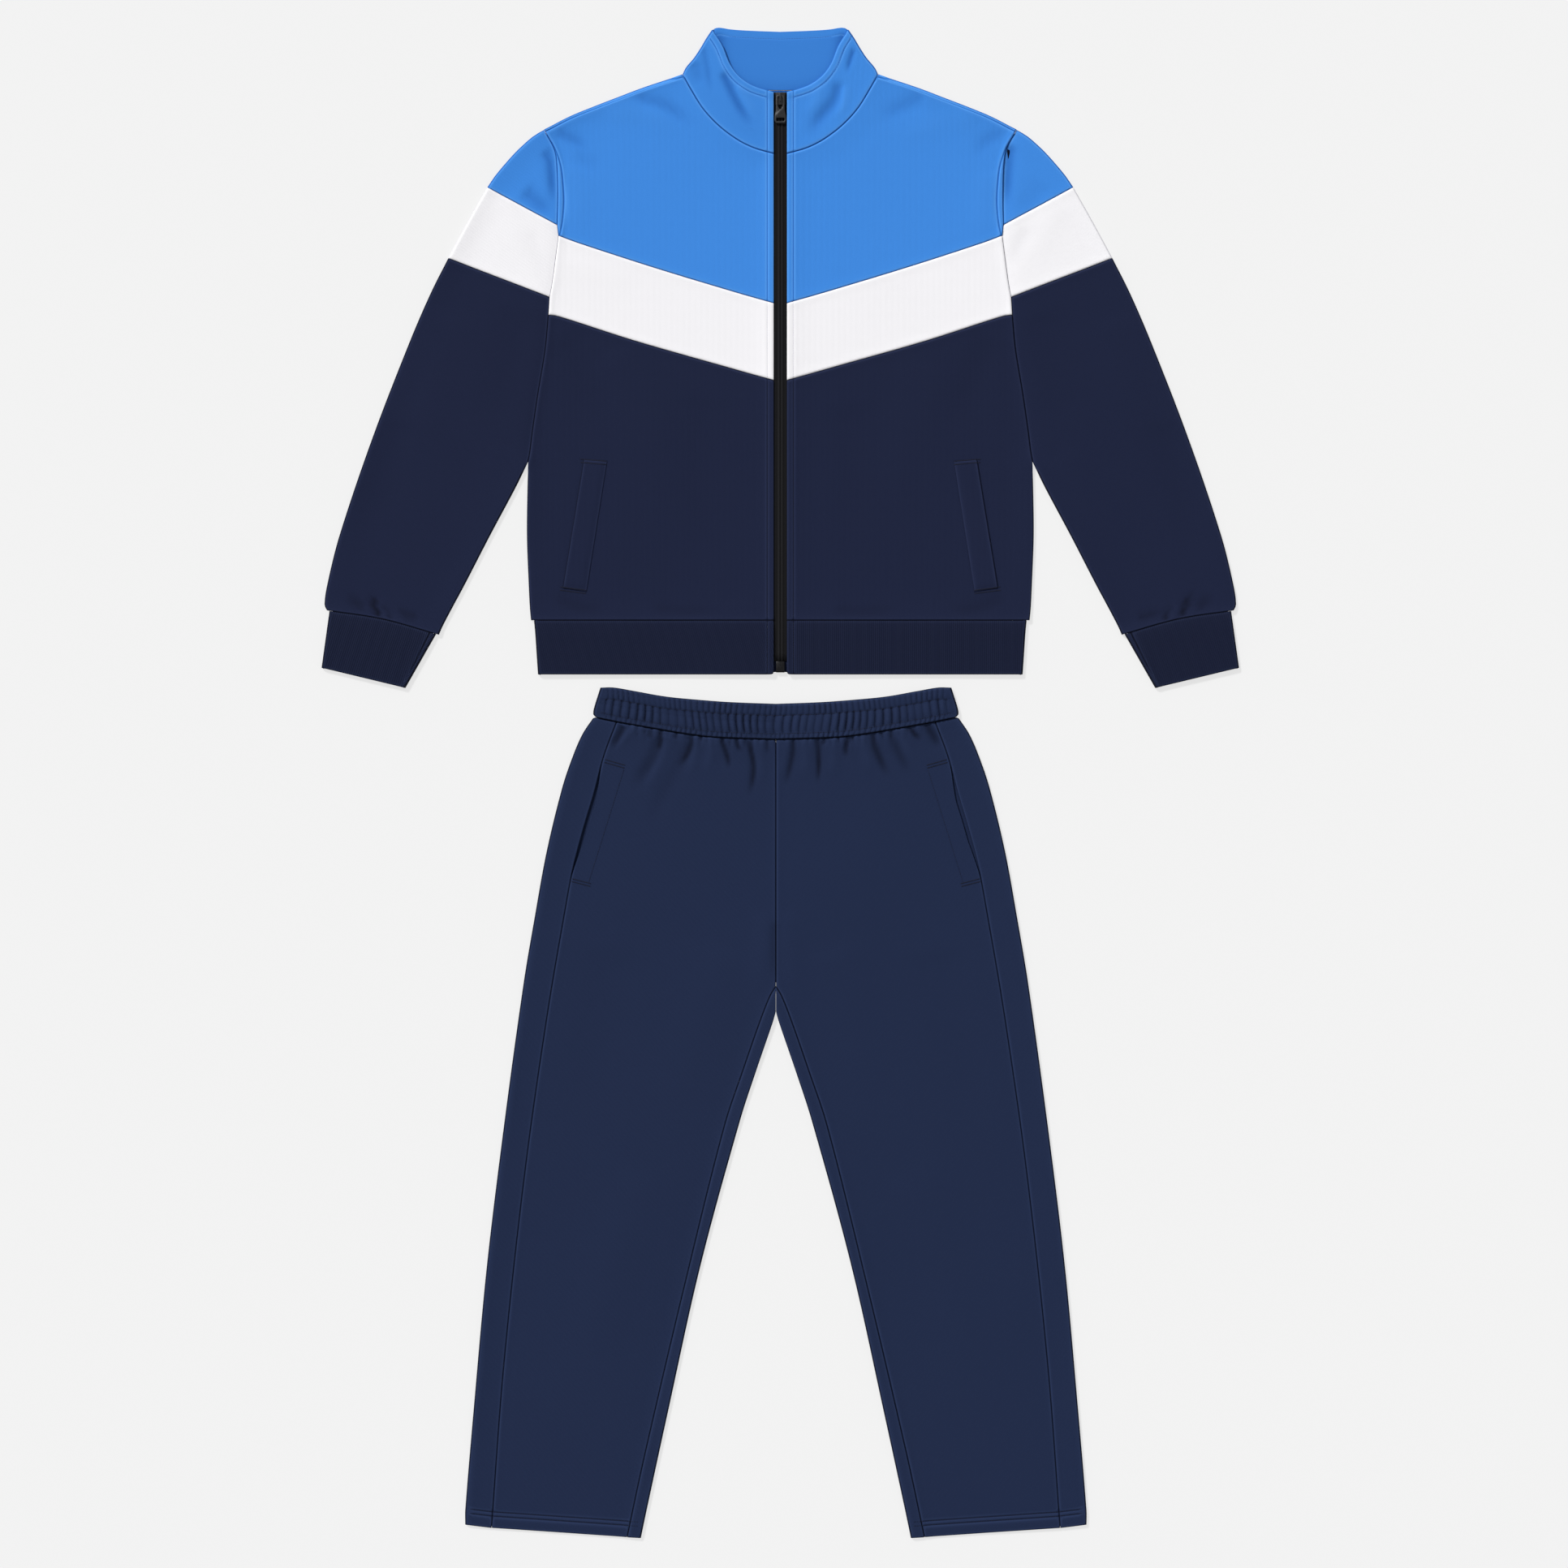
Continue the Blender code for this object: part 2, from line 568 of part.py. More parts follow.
def jacket_sleeve(side, word, finishes, collection):
    cap_seam = split([ARMHOLE["sleeve_cap"][0], CAP_OUTER[0]], 4)
    band_seam = split([ARMHOLE["sleeve_band"][0], BAND_OUTER[0]], 4)
    end_seam = split(CUFF_SEAM, 6)

    inner = ARMHOLE["sleeve_cap"]
    left, top = inner[:-4], inner[-5:]
    plan = mapped(*drawn_in(cap_seam, top, left, split(CAP_OUTER, len(left) - 1)))
    sleeve_piece(f"sleeve_cap_{word}", plan, [0.0] * len(plan), finishes["blue"], collection, side)

    inner = ARMHOLE["sleeve_band"]
    plan = mapped(*drawn_in(band_seam, cap_seam, inner, split(BAND_OUTER, len(inner) - 1)))
    sleeve_piece(f"sleeve_band_{word}", plan, [0.0] * len(plan), finishes["white"], collection, side)

    inner = joined(split(SLEEVE_INNER, 8), ARMHOLE["sleeve_lower"])
    outer = split(LOWER_OUTER, len(inner) - 1)
    plan = mapped(*drawn_in(end_seam, split([inner[-1], outer[-1]], 6), inner, outer))
    follow = [1.0 if j < 8 else 0.0 for j in range(len(plan))]
    sleeve_piece(f"sleeve_lower_{word}", plan, follow, finishes["navy"], collection, side)

    seam = list(end_seam)
    seam[0] = seam[0] + (seam[1] - seam[0]).normalized() * CUFF_STEP
    seam[-1] = seam[-1] + (seam[-2] - seam[-1]).normalized() * CUFF_STEP
    end = split([CUFF_INNER_END, CUFF_OUTER_END], 6)
    plan = mapped(*drawn_in(end, seam, split([end[0], seam[0]], 3), split([end[-1], seam[-1]], 3)))
    rows = []
    for row in plan:
        upper, lower = level(row, BAND_HEIGHT), level(row, 0.0)
        right = fold(upper[-1], upper[-2], upper[-2])
        left = fold(upper[0], upper[1], upper[1])
        loop = upper[1:-1] + right + lower[-2:0:-1] + left[::-1]
        rows.append(loop + loop[:1])
    skin(f"cuff_{word}", [rows], BAND_WALL, finishes["navy"], collection, JACKET_AT, side)


def hem_band(finishes, collection):
    low = split([(ZIP_HALF_GAP, 0.0), HEM_BAND_SIDE[0]], 8)
    high = split([(ZIP_HALF_GAP, HEM_SEAM_Y), HEM_BAND_SIDE[-1]], 8)
    plan = mapped(*drawn_in(low, high, split([low[0], high[0]], 3), split(HEM_BAND_SIDE, 3)))
    rows = []
    for row in plan:
        back = row[-2:0:-1] + [Vector((0.0, row[0].y))]
        rows.append(both_halves(folded(level(row, BAND_HEIGHT), back)))
    skin("hem_band", [rows], BAND_WALL, finishes["navy"], collection, JACKET_AT)


def collar_height(point, share):
    """Higher towards the mouth, with soft dents."""
    height = COLLAR_FOOT_HEIGHT + (COLLAR_MOUTH_HEIGHT - COLLAR_FOOT_HEIGHT) * ease(share)
    for x, y, width, length, depth in COLLAR_DENTS:
        height -= depth * math.exp(-(((point.x - x) / width) ** 2) - ((point.y - y) / length) ** 2)
    return height


def collar(finishes, collection):
    side, back_top = split(COLLAR_SIDE, 6), split(COLLAR_BACK_TOP, 6)
    front_edge = split([NECK_SEAM[0], COLLAR_MOUTH[0]], 6)
    back_middle = split([BACK_NECK_SEAM[0], back_top[0]], 6)
    front = mapped(*drawn_in(split(NECK_SEAM, 6), split(COLLAR_MOUTH, 6), front_edge, side))
    back = mapped(*drawn_in(split(BACK_NECK_SEAM, 6), back_top, back_middle, side))
    rows = []
    for j, (upper, lower) in enumerate(zip(front, back)):
        row = [Vector((*p, collar_height(p, j / 6))) for p in upper]
        lower[0].x = 0.0
        rows.append(both_halves(folded(row, lower[-2::-1])))
    skin("collar", [rows], COLLAR_WALL, finishes["blue"], collection, JACKET_AT)


def welts(side, word, finishes, collection):
    """A strip that lies on the front, with the pocket's mouth along its outer edge."""
    mouth, inner = split(WELT_MOUTH, 4), split(WELT_INNER, 4)
    plan = mapped(split([inner[0], mouth[0]], 2), split([inner[-1], mouth[-1]], 2), inner, mouth)
    lift = Vector((0.0, 0.0, SEAM_GAP + WELT_WALL))
    rows = [[p + lift for p in jacket_layer(row)] for row in plan]
    skin(f"jacket_pocket_welt_{word}", [rows], WELT_WALL, finishes["navy"], collection, JACKET_AT, side)


# Zip.
def zip_fastener(finishes, collection, cutters):
    black, metal = finishes["zip"], finishes["metal"]
    foot, chain = BOX_ENDS[1] + SEAM_GAP, CHAIN_HALF_WIDTH
    tape_high, chain_high = TAPE_LOW + TAPE_WALL, CHAIN_LOW + CHAIN_WALL
    chain_head = SLIDER_THROAT_END - SEAM_GAP
    tape = box("zip_tape", (-chain, foot, CHAIN_LOW), (chain, chain_head, chain_high), black, collection)
    near = POST_HALF_WIDTH + SEAM_GAP
    for side, word in ((-1, "right"), (1, "left")):
        xs = sorted((side * near, side * TAPE_EDGE))
        strip = box(f"strip_{word}", (xs[0], foot, TAPE_LOW), (xs[1], ZIP_HEAD, tape_high), None, cutters)
        combine(tape, strip, "UNION")
    wide = BOX_HALF_WIDTH
    box("zip_box", (-wide, BOX_ENDS[0], BOX_LOW), (wide, BOX_ENDS[1], BOX_LOW + BOX_WALL), metal, collection)

    low, high = SLIDER_ENDS
    wide, slim = SLIDER_HALF_WIDTH, CROWN_HALF_WIDTH
    slider = box("zip_slider", (-wide, low, SLIDER_LOW), (wide, high, SLIDER_TOP), metal, collection)
    hole_low, hole_high, hole_foot, hole_head = CROWN_HOLE
    slot_low, slot_high = TAPE_LOW - SEAM_GAP, tape_high + SEAM_GAP
    beyond, post, near = 1.0, POST_HALF_WIDTH, chain + SEAM_GAP
    tools = [
        ("crown", (-slim, CROWN_ENDS[0], SLIDER_TOP - 0.5), (slim, CROWN_ENDS[1], CROWN_TOP), "UNION"),
        ("crown_hole", (-wide, hole_low, hole_foot), (wide, hole_high, hole_head), "DIFFERENCE"),
        ("throat", (-near, low - beyond, CHAIN_LOW - SEAM_GAP), (near, SLIDER_THROAT_END, chain_high + SEAM_GAP), "DIFFERENCE"),
        ("slot_right", (-wide - beyond, low - beyond, slot_low), (-post, high + beyond, slot_high), "DIFFERENCE"),
        ("slot_left", (post, low - beyond, slot_low), (wide + beyond, high + beyond, slot_high), "DIFFERENCE"),
    ]
    for name, corner, far_corner, operation in tools:
        combine(slider, box(name, corner, far_corner, None, cutters), operation)
    pull_tab(metal, collection)


def pull_tab(metal, collection):
    """A flat tab that swings on a bar through the slider's crown. Its origin is on the bar's axis."""

    def ring(half):
        half = [Vector(p) for p in half]
        return half + mirror(reversed(half))

    at = (JACKET_AT[0] + PIVOT[0], JACKET_AT[1] + PIVOT[1])
    outlines = [ring(TAB_OUTLINE), ring(TAB_EYE), ring(TAB_SLOT)]
    plate("zip_pull_tab", outlines, TAB_WALL, PIVOT[2] - TAB_WALL / 2, metal, collection, at)


# Trousers.
def fold_rise(column, away):
    """The rise of the soft fold on a column of the leg's front, which fades away from the waist."""
    if not 0 < column <= len(LEG_FOLDS):
        return 0.0
    _, length, rise = LEG_FOLDS[column - 1]
    return rise * (1 - ease(away / length))


def leg_lines():
    """The lines of one leg, as points on the rows that cross it."""
    lines = {
        "outer": at_heights(LEG_OUTER, ROWS_TO_CROTCH["outer"] + ROWS_TO_WAIST["outer"]),
        "side": at_heights(SIDE_SEAM, ROWS_TO_CROTCH["side"] + ROWS_TO_WAIST["side"]),
        "inner": at_heights(LEG_INNER, ROWS_TO_CROTCH["inner"]),
        "inseam": at_heights(IN_SEAM, ROWS_TO_CROTCH["inseam"]),
    }
    for name in ("centre_front", "centre_back"):
        lines[name] = [Vector((0.0, y)) for y in ROWS_TO_WAIST[name]]
    return lines


def leg_front(side, word, lines, finishes, collection):
    columns = [0.0] + [row[0] for row in LEG_FOLDS] + [SIDE_SEAM[-1][0]]
    waist = at_crossings(WAIST_BOTTOM, columns)
    left, right = lines["inseam"] + lines["centre_front"], list(lines["side"])
    hem = [left[0].lerp(right[0], x / columns[-1]) for x in columns]
    left[-1], right[-1] = waist[0], waist[-1]
    b, t, l, r = drawn_in(hem, waist, left, right)
    for k, back in enumerate(POCKET_SET_BACK):
        r[len(ROWS_TO_CROTCH["side"]) + k].x -= back
    waist_line = split(WAIST_BOTTOM, 12)
    rows = []
    for row in mapped(b, t, l, r):
        layer = leg_layer(row)
        for i, point in enumerate(layer):
            point.z += fold_rise(i, distance(point.xy, waist_line))
        rows.append(layer)
    skin(f"leg_front_{word}", [rows], CLOTH, finishes["leg"], collection, TROUSERS_AT, side)


def leg_back(side, word, lines, finishes, collection):
    """The back wraps round both edges of the leg to the seams on its front."""
    outer, inner = list(lines["outer"]), list(lines["inner"])
    side_seam, inseam = moved(lines["side"], -HALF_GAP), moved(lines["inseam"], HALF_GAP)
    radius = EDGE_HEIGHT / 2
    inner[-1].x = inseam[-1].x = HALF_GAP
    turn = [e + (t - e).normalized() * radius for e, t in zip(inner, inseam)]
    left = turn + [Vector((HALF_GAP, p.y)) for p in lines["centre_back"]]
    hem = split([left[0], outer[0]], 12)
    waist = moved(split(WAIST_BOTTOM, 12), -HALF_GAP)
    waist[0] = left[-1] = Vector((HALF_GAP, waist[0].y))
    outer[-1] = waist[-1]
    side_seam[-1] = side_seam[-1].lerp(side_seam[-2], 0.04)
    rows = []
    for row, seam in zip(mapped(hem, waist, left, outer), side_seam):
        strip = leg_layer([seam, seam.lerp(row[-1], 0.5), row[-1]])
        rows.append(folded(strip, row[-2::-1]))
    wrap = []
    for start, edge, seam in zip(turn, inner, inseam):
        ends = leg_layer([edge, seam])
        turned = fold(ends[0], seam, seam)[::-1]
        turned[0] = Vector((*start, 0.0))
        wrap.append(turned + ends[1:])
    skin(f"leg_back_{word}", [rows, wrap], CLOTH, finishes["leg"], collection, TROUSERS_AT, side)


def waistband(finishes, collection):
    """An elastic loop with its front drawn up in gathers."""
    spans = 2 * GATHERS_A_SIDE
    low, high = split(WAIST_BOTTOM, spans), split(WAIST_TOP, spans)
    b, t, l, r = drawn_in(low, high, split([low[0], high[0]], 3), split(WAIST_SIDE, 3))
    for point in (b[0], t[0], *l):
        point.x = 0.0
    rows = []
    for row in mapped(b, t, l, r):
        upper = level(row, WAIST_HEIGHT)
        for i, point in enumerate(upper[:-3]):
            point.z += GATHER_RISE * (1 if i % 2 else -1) * (0.75 + 0.25 * math.sin(1.7 * i))
        half = folded(upper, row[-2::-1])
        rows.append(half + mirror(reversed(half[1:-1])) + half[:1])
    skin("waistband", [rows], WAIST_WALL, finishes["leg"], collection, TROUSERS_AT)


ARMHOLE_RUNS = [
    split(ARMHOLE_TO_BODY_BAND, 6),
    split(ARMHOLE_TO_SLEEVE_BAND, 1),
    split(ARMHOLE_TO_BODY_YOKE, 3),
    split(ARMHOLE_TO_SLEEVE_CAP, 1),
    split(ARMHOLE_TO_SHOULDER, 8),
]
ARMHOLE = {
    "body_lower": ARMHOLE_RUNS[0],
    "body_band": joined(*ARMHOLE_RUNS[1:3]),
    "body_yoke": joined(*ARMHOLE_RUNS[3:]),
    "sleeve_lower": joined(*ARMHOLE_RUNS[:2]),
    "sleeve_band": joined(*ARMHOLE_RUNS[2:4]),
    "sleeve_cap": ARMHOLE_RUNS[4],
}


def main():
    clear_scene()
    collection = bpy.data.collections.new("tracksuit")
    cutters = bpy.data.collections.new("cutters")
    for made in (collection, cutters):
        bpy.context.scene.collection.children.link(made)
    cutters.hide_render = True
    finishes = {
        "blue": material("blue_knit", BLUE, 0.75),
        "white": material("white_knit", WHITE, 0.75),
        "navy": material("navy_knit", NAVY, 0.75),
        "leg": material("trouser_knit", LEG_NAVY, 0.75),
        "zip": material("zip_tape", ZIP_BLACK, 0.6),
        "metal": material("zip_metal", DARK_METAL, 0.35, 0.8),
    }
    jacket_backs(finishes, collection)
    hem_band(finishes, collection)
    collar(finishes, collection)
    zip_fastener(finishes, collection, cutters)
    waistband(finishes, collection)
    lines = leg_lines()
    for side, word in ((-1, "right"), (1, "left")):
        jacket_fronts(side, word, finishes, collection)
        jacket_sleeve(side, word, finishes, collection)
        welts(side, word, finishes, collection)
        leg_back(side, word, lines, finishes, collection)
        leg_front(side, word, lines, finishes, collection)


main()
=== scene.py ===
# %% [markdown]
# # A tracksuit laid flat
# A zip jacket with a stand collar lies above its trousers, and a camera looks straight down on both.
# The imported model gives the frame: each piece made here lies where a solid of that model lies.
# This cell loads it.

# %% The imported frame
import json
import math

import bmesh
import bpy
import numpy as np
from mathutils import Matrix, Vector
from mathutils.bvhtree import BVHTree

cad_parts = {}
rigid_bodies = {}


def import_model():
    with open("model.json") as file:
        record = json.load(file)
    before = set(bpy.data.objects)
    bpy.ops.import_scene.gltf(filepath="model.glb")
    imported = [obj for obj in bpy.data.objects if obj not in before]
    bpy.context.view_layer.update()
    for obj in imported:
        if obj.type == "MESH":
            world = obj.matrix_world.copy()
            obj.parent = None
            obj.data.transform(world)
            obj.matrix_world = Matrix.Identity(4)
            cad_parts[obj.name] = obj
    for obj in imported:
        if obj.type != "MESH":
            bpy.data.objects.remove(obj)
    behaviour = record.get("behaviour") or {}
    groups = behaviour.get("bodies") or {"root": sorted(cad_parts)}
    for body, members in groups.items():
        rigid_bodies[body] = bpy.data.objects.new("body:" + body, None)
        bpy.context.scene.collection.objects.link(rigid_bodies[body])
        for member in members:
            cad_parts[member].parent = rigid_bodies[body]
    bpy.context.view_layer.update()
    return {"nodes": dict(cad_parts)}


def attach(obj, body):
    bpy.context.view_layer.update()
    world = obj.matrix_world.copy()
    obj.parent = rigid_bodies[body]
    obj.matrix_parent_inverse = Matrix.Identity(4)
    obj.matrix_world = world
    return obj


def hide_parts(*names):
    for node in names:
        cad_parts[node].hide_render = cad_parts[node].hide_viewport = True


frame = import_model()
bpy.ops.object.select_all(action="DESELECT")

# %% [markdown]
# ## Camera
# The picture is a straight-down view from far away, so the camera hangs high with a long lens.
# The view is 1.8354 m wide, which is 0.95 mm for each of the picture's 1932 points.

# %% Camera
VIEW_WIDTH = 1.8354
VIEW_CENTRE = (0.0043, -0.0012)
CAMERA_HEIGHT = 4.5
SENSOR = 36.0

camera_data = bpy.data.cameras.new("overhead_camera")
camera_data.sensor_width = SENSOR
camera_data.lens = SENSOR * CAMERA_HEIGHT / VIEW_WIDTH
camera = bpy.data.objects.new("overhead_camera", camera_data)
camera.location = (*VIEW_CENTRE, CAMERA_HEIGHT)
bpy.context.scene.collection.objects.link(camera)
bpy.context.scene.camera = camera
print("lens:", round(camera_data.lens, 1), "mm")

# %% [markdown]
# ## Light and floor
# The garments were lit by a soft, even light with almost no shadow. A bright sky gives the evenness.
# A soft sun from the picture's upper left gives the seams and folds their relief.
# The floor glows a little, as a lit table does, so that the garments cast hardly any shadow on it.
# The colours are shown with the Standard view, which keeps a strong blue as strong as its material.

# %% Light
SKY_STRENGTH = 0.42
SUN_STRENGTH = 2.85
SUN_SPREAD = math.radians(10)
# The way that the sun's light travels: down, and away from the picture's upper left.
SUN_WAY = Vector((0.48, -0.60, -0.64))

sky = bpy.data.worlds.new("studio_sky")
sky.use_nodes = True
sky.node_tree.nodes["Background"].inputs["Color"].default_value = (1.0, 1.0, 1.0, 1.0)
sky.node_tree.nodes["Background"].inputs["Strength"].default_value = SKY_STRENGTH
bpy.context.scene.world = sky
bpy.context.scene.view_settings.view_transform = "Standard"

sun_data = bpy.data.lights.new("studio_sun", "SUN")
sun_data.energy = SUN_STRENGTH
sun_data.angle = SUN_SPREAD
sun = bpy.data.objects.new("studio_sun", sun_data)
sun.rotation_euler = SUN_WAY.to_track_quat("-Z", "Y").to_euler()
bpy.context.scene.collection.objects.link(sun)
print("light: sky and one soft sun")

# %% Floor
FLOOR_SIZE = 12.0
FLOOR_COLOUR = (0.2, 0.2, 0.2, 1.0)
FLOOR_GLOW = 0.69

bpy.ops.mesh.primitive_plane_add(size=FLOOR_SIZE, location=(0.0, 0.0, -0.0002))
floor = bpy.context.object
floor.name = "floor"
paper = bpy.data.materials.new("pale_paper")
paper.use_nodes = True
paper_inputs = paper.node_tree.nodes["Principled BSDF"].inputs
paper_inputs["Base Color"].default_value = FLOOR_COLOUR
paper_inputs["Emission Color"].default_value = (1.0, 1.0, 1.0, 1.0)
paper_inputs["Emission Strength"].default_value = FLOOR_GLOW
paper_inputs["Roughness"].default_value = 0.9
paper_inputs["Specular IOR Level"].default_value = 0.1
floor.data.materials.append(paper)
bpy.ops.object.select_all(action="DESELECT")
print("floor:", FLOOR_SIZE, "m wide")

# %% [markdown]
# ## Knit
# All the cloth is one smooth double knit. Close up it is rows of tiny loops, about a millimetre wide.
# A pattern of loops is built once as a node group: bands across the cloth, each bent into a V.
# It reads the piece's own UV map, which is in metres along the cloth, so it follows sleeves and folds.

# %% Node helpers
def socket(tree, name, kind, way, value=None):
    made = tree.interface.new_socket(name=name, in_out=way, socket_type=kind)
    if value is not None:
        made.default_value = value


def maths(tree, operation, first, second=None):
    """A Math node that reads sockets or numbers."""
    node = tree.nodes.new("ShaderNodeMath")
    node.operation = operation
    for k, value in enumerate((first, second)):
        if value is None:
            continue
        if isinstance(value, (int, float)):
            node.inputs[k].default_value = value
        else:
            tree.links.new(value, node.inputs[k])
    return node.outputs[0]


def blend_colours(tree, share, first, second):
    """A Mix node between two colours, each a socket or a colour."""
    node = tree.nodes.new("ShaderNodeMix")
    node.data_type = "RGBA"
    tree.links.new(share, node.inputs["Factor"])
    for value, name in ((first, "A"), (second, "B")):
        place = next(s for s in node.inputs if s.name == name and s.type == "RGBA")
        if isinstance(value, tuple):
            place.default_value = value
        else:
            tree.links.new(value, place)
    return next(s for s in node.outputs if s.type == "RGBA")


print("node helpers are ready")

# %% The knit group
LOOP_WIDTH = 0.0011
LOOP_HEIGHT = 0.0009
LOOP_BEND = 0.42

knit = bpy.data.node_groups.new("knit_loops", "ShaderNodeTree")
socket(knit, "Loop Width", "NodeSocketFloat", "INPUT", LOOP_WIDTH)
socket(knit, "Loop Height", "NodeSocketFloat", "INPUT", LOOP_HEIGHT)
socket(knit, "Relief", "NodeSocketFloat", "OUTPUT")
socket(knit, "Shade", "NodeSocketFloat", "OUTPUT")
given = knit.nodes.new("NodeGroupInput")
made = knit.nodes.new("NodeGroupOutput")
uv_map = knit.nodes.new("ShaderNodeUVMap")
parts = knit.nodes.new("ShaderNodeSeparateXYZ")
knit.links.new(uv_map.outputs["UV"], parts.inputs[0])
across = maths(knit, "DIVIDE", parts.outputs["X"], given.outputs["Loop Width"])
along_cloth = maths(knit, "DIVIDE", parts.outputs["Y"], given.outputs["Loop Height"])
leg_of_loop = maths(knit, "PINGPONG", across, 0.5)
bent = maths(knit, "ADD", along_cloth, maths(knit, "MULTIPLY", leg_of_loop, LOOP_BEND * 2))
rows_of_loops = maths(knit, "SINE", maths(knit, "MULTIPLY", bent, 2 * math.pi))
wales = maths(knit, "SINE", maths(knit, "MULTIPLY", across, 2 * math.pi))
relief = maths(knit, "ADD", maths(knit, "MULTIPLY", rows_of_loops, 0.35), maths(knit, "MULTIPLY", wales, 0.5))
knit.links.new(relief, made.inputs["Relief"])
mottle = knit.nodes.new("ShaderNodeTexNoise")
mottle.inputs["Scale"].default_value = 900.0
mottle.inputs["Detail"].default_value = 2.0
knit.links.new(uv_map.outputs["UV"], mottle.inputs["Vector"])
shade = maths(knit, "ADD", maths(knit, "MULTIPLY", relief, 0.12), mottle.outputs["Fac"])
knit.links.new(shade, made.inputs["Shade"])
print("knit group: loops", LOOP_WIDTH * 1000, "mm wide")

# %% [markdown]
# ## Painted seam shading
# Where two pieces meet, the cloth is pressed, and the colour paints shade on its edge and a faint highlight
# beside it.
# Each mesh carries an attribute for this, from 1 on the edge to 0 some millimetres away.
# Another, named hollow, paints shade where it is above 0, in fold troughs, and highlight below 0, on ridges.
# This second group turns both into colour factors, and adds broad, faint patches of handling.

# %% The painted shading group
painted_shading = bpy.data.node_groups.new("painted_seam_shading", "ShaderNodeTree")
socket(painted_shading, "Patch Size", "NodeSocketFloat", "INPUT", 7.0)
socket(painted_shading, "Ridge", "NodeSocketFloat", "OUTPUT")
socket(painted_shading, "Groove", "NodeSocketFloat", "OUTPUT")
socket(painted_shading, "Patch", "NodeSocketFloat", "OUTPUT")
socket(painted_shading, "Trough", "NodeSocketFloat", "OUTPUT")
socket(painted_shading, "Crest", "NodeSocketFloat", "OUTPUT")
given = painted_shading.nodes.new("NodeGroupInput")
made = painted_shading.nodes.new("NodeGroupOutput")
read = painted_shading.nodes.new("ShaderNodeAttribute")
read.attribute_name = "painted_shading"
# Ridge is the painted highlight beside a line, and Groove the painted shade on it.
for name, stops in (
    ("Ridge", ((0.0, 0.0), (0.3, 0.2), (0.6, 1.0), (0.82, 0.0))),
    ("Groove", ((0.0, 0.0), (0.74, 0.0), (0.94, 1.0))),
):
    ramp = painted_shading.nodes.new("ShaderNodeValToRGB")
    painted_shading.links.new(read.outputs["Fac"], ramp.inputs["Fac"])
    points = ramp.color_ramp.elements
    while len(points) < len(stops):
        points.new(0.5)
    for point, (place, value) in zip(points, stops):
        point.position = place
        point.color = (value, value, value, 1.0)
    painted_shading.links.new(ramp.outputs["Color"], made.inputs[name])
deep = painted_shading.nodes.new("ShaderNodeAttribute")
deep.attribute_name = "hollow"
for name, sign in (("Trough", 1.0), ("Crest", -1.0)):
    kept = maths(painted_shading, "MAXIMUM", maths(painted_shading, "MULTIPLY", deep.outputs["Fac"], sign), 0.0)
    painted_shading.links.new(kept, made.inputs[name])
spot = painted_shading.nodes.new("ShaderNodeTexCoord")
patches = painted_shading.nodes.new("ShaderNodeTexNoise")
patches.inputs["Detail"].default_value = 3.0
painted_shading.links.new(given.outputs["Patch Size"], patches.inputs["Scale"])
painted_shading.links.new(spot.outputs["Object"], patches.inputs["Vector"])
painted_shading.links.new(patches.outputs["Fac"], made.inputs["Patch"])
print("press group: ridge, groove and patch")

# %% [markdown]
# ## Cloth materials
# Each dye also has a lighter colour for painted highlight on ridges and a darker one for painted shade in
# grooves.
# Six dyes share the two groups: blue, white, the navies of the jacket, its ribs and the trousers, and black.
# Each dye has a darker and a lighter shade, mixed by the loops.
# All but white and black have a soft sheen like brushed polyester.
# The strength of a sheen is the same all over, so it is set on the shader itself.

# %% Cloth materials
def new_material(name):
    """A material, its node tree and its shader."""
    finish = bpy.data.materials.new(name)
    finish.use_nodes = True
    return finish, finish.node_tree, finish.node_tree.nodes["Principled BSDF"]


def knit_material(name, dark, light, ridge, groove, sheen, ribs=0.0):
    finish, tree, shader = new_material(name)
    loops = tree.nodes.new("ShaderNodeGroup")
    loops.node_tree = knit
    seams = tree.nodes.new("ShaderNodeGroup")
    seams.node_tree = painted_shading
    cloth = blend_colours(tree, loops.outputs["Shade"], (*dark, 1.0), (*light, 1.0))
    # Patches are random tone; troughs and grooves take painted shade, and crests and ridges painted
    # highlight.
    tints = (
        ("Patch", 0.22, light),
        ("Trough", 0.8, groove),
        ("Crest", 0.35, ridge),
        ("Ridge", 0.6, ridge),
        ("Groove", 0.85, groove),
    )
    for cause, strength, tint in tints:
        share = maths(tree, "MULTIPLY", seams.outputs[cause], strength)
        cloth = blend_colours(tree, share, cloth, (*tint, 1.0))
    tree.links.new(cloth, shader.inputs["Base Color"])
    rough = maths(tree, "SUBTRACT", 0.86, maths(tree, "MULTIPLY", loops.outputs["Shade"], 0.08))
    tree.links.new(rough, shader.inputs["Roughness"])
    shader.inputs["Specular IOR Level"].default_value = 0.12
    shader.inputs["Sheen Weight"].default_value = sheen
    shader.inputs["Sheen Roughness"].default_value = 0.5
    relief_of_loops = tree.nodes.new("ShaderNodeBump")
    relief_of_loops.inputs["Strength"].default_value = 0.5
    relief_of_loops.inputs["Distance"].default_value = 0.0003
    height = loops.outputs["Relief"]
    if ribs:
        place = tree.nodes.new("ShaderNodeSeparateXYZ")
        tree.links.new(tree.nodes.new("ShaderNodeUVMap").outputs["UV"], place.inputs[0])
        turns = maths(tree, "MULTIPLY", place.outputs["X"], 2 * math.pi / RIB_WIDTH)
        height = maths(tree, "ADD", height, maths(tree, "MULTIPLY", maths(tree, "SINE", turns), ribs))
    tree.links.new(height, relief_of_loops.inputs["Height"])
    tree.links.new(relief_of_loops.outputs["Normal"], shader.inputs["Normal"])
    return finish


RIB_WIDTH = 0.0024
RIB_RELIEF = 1.6
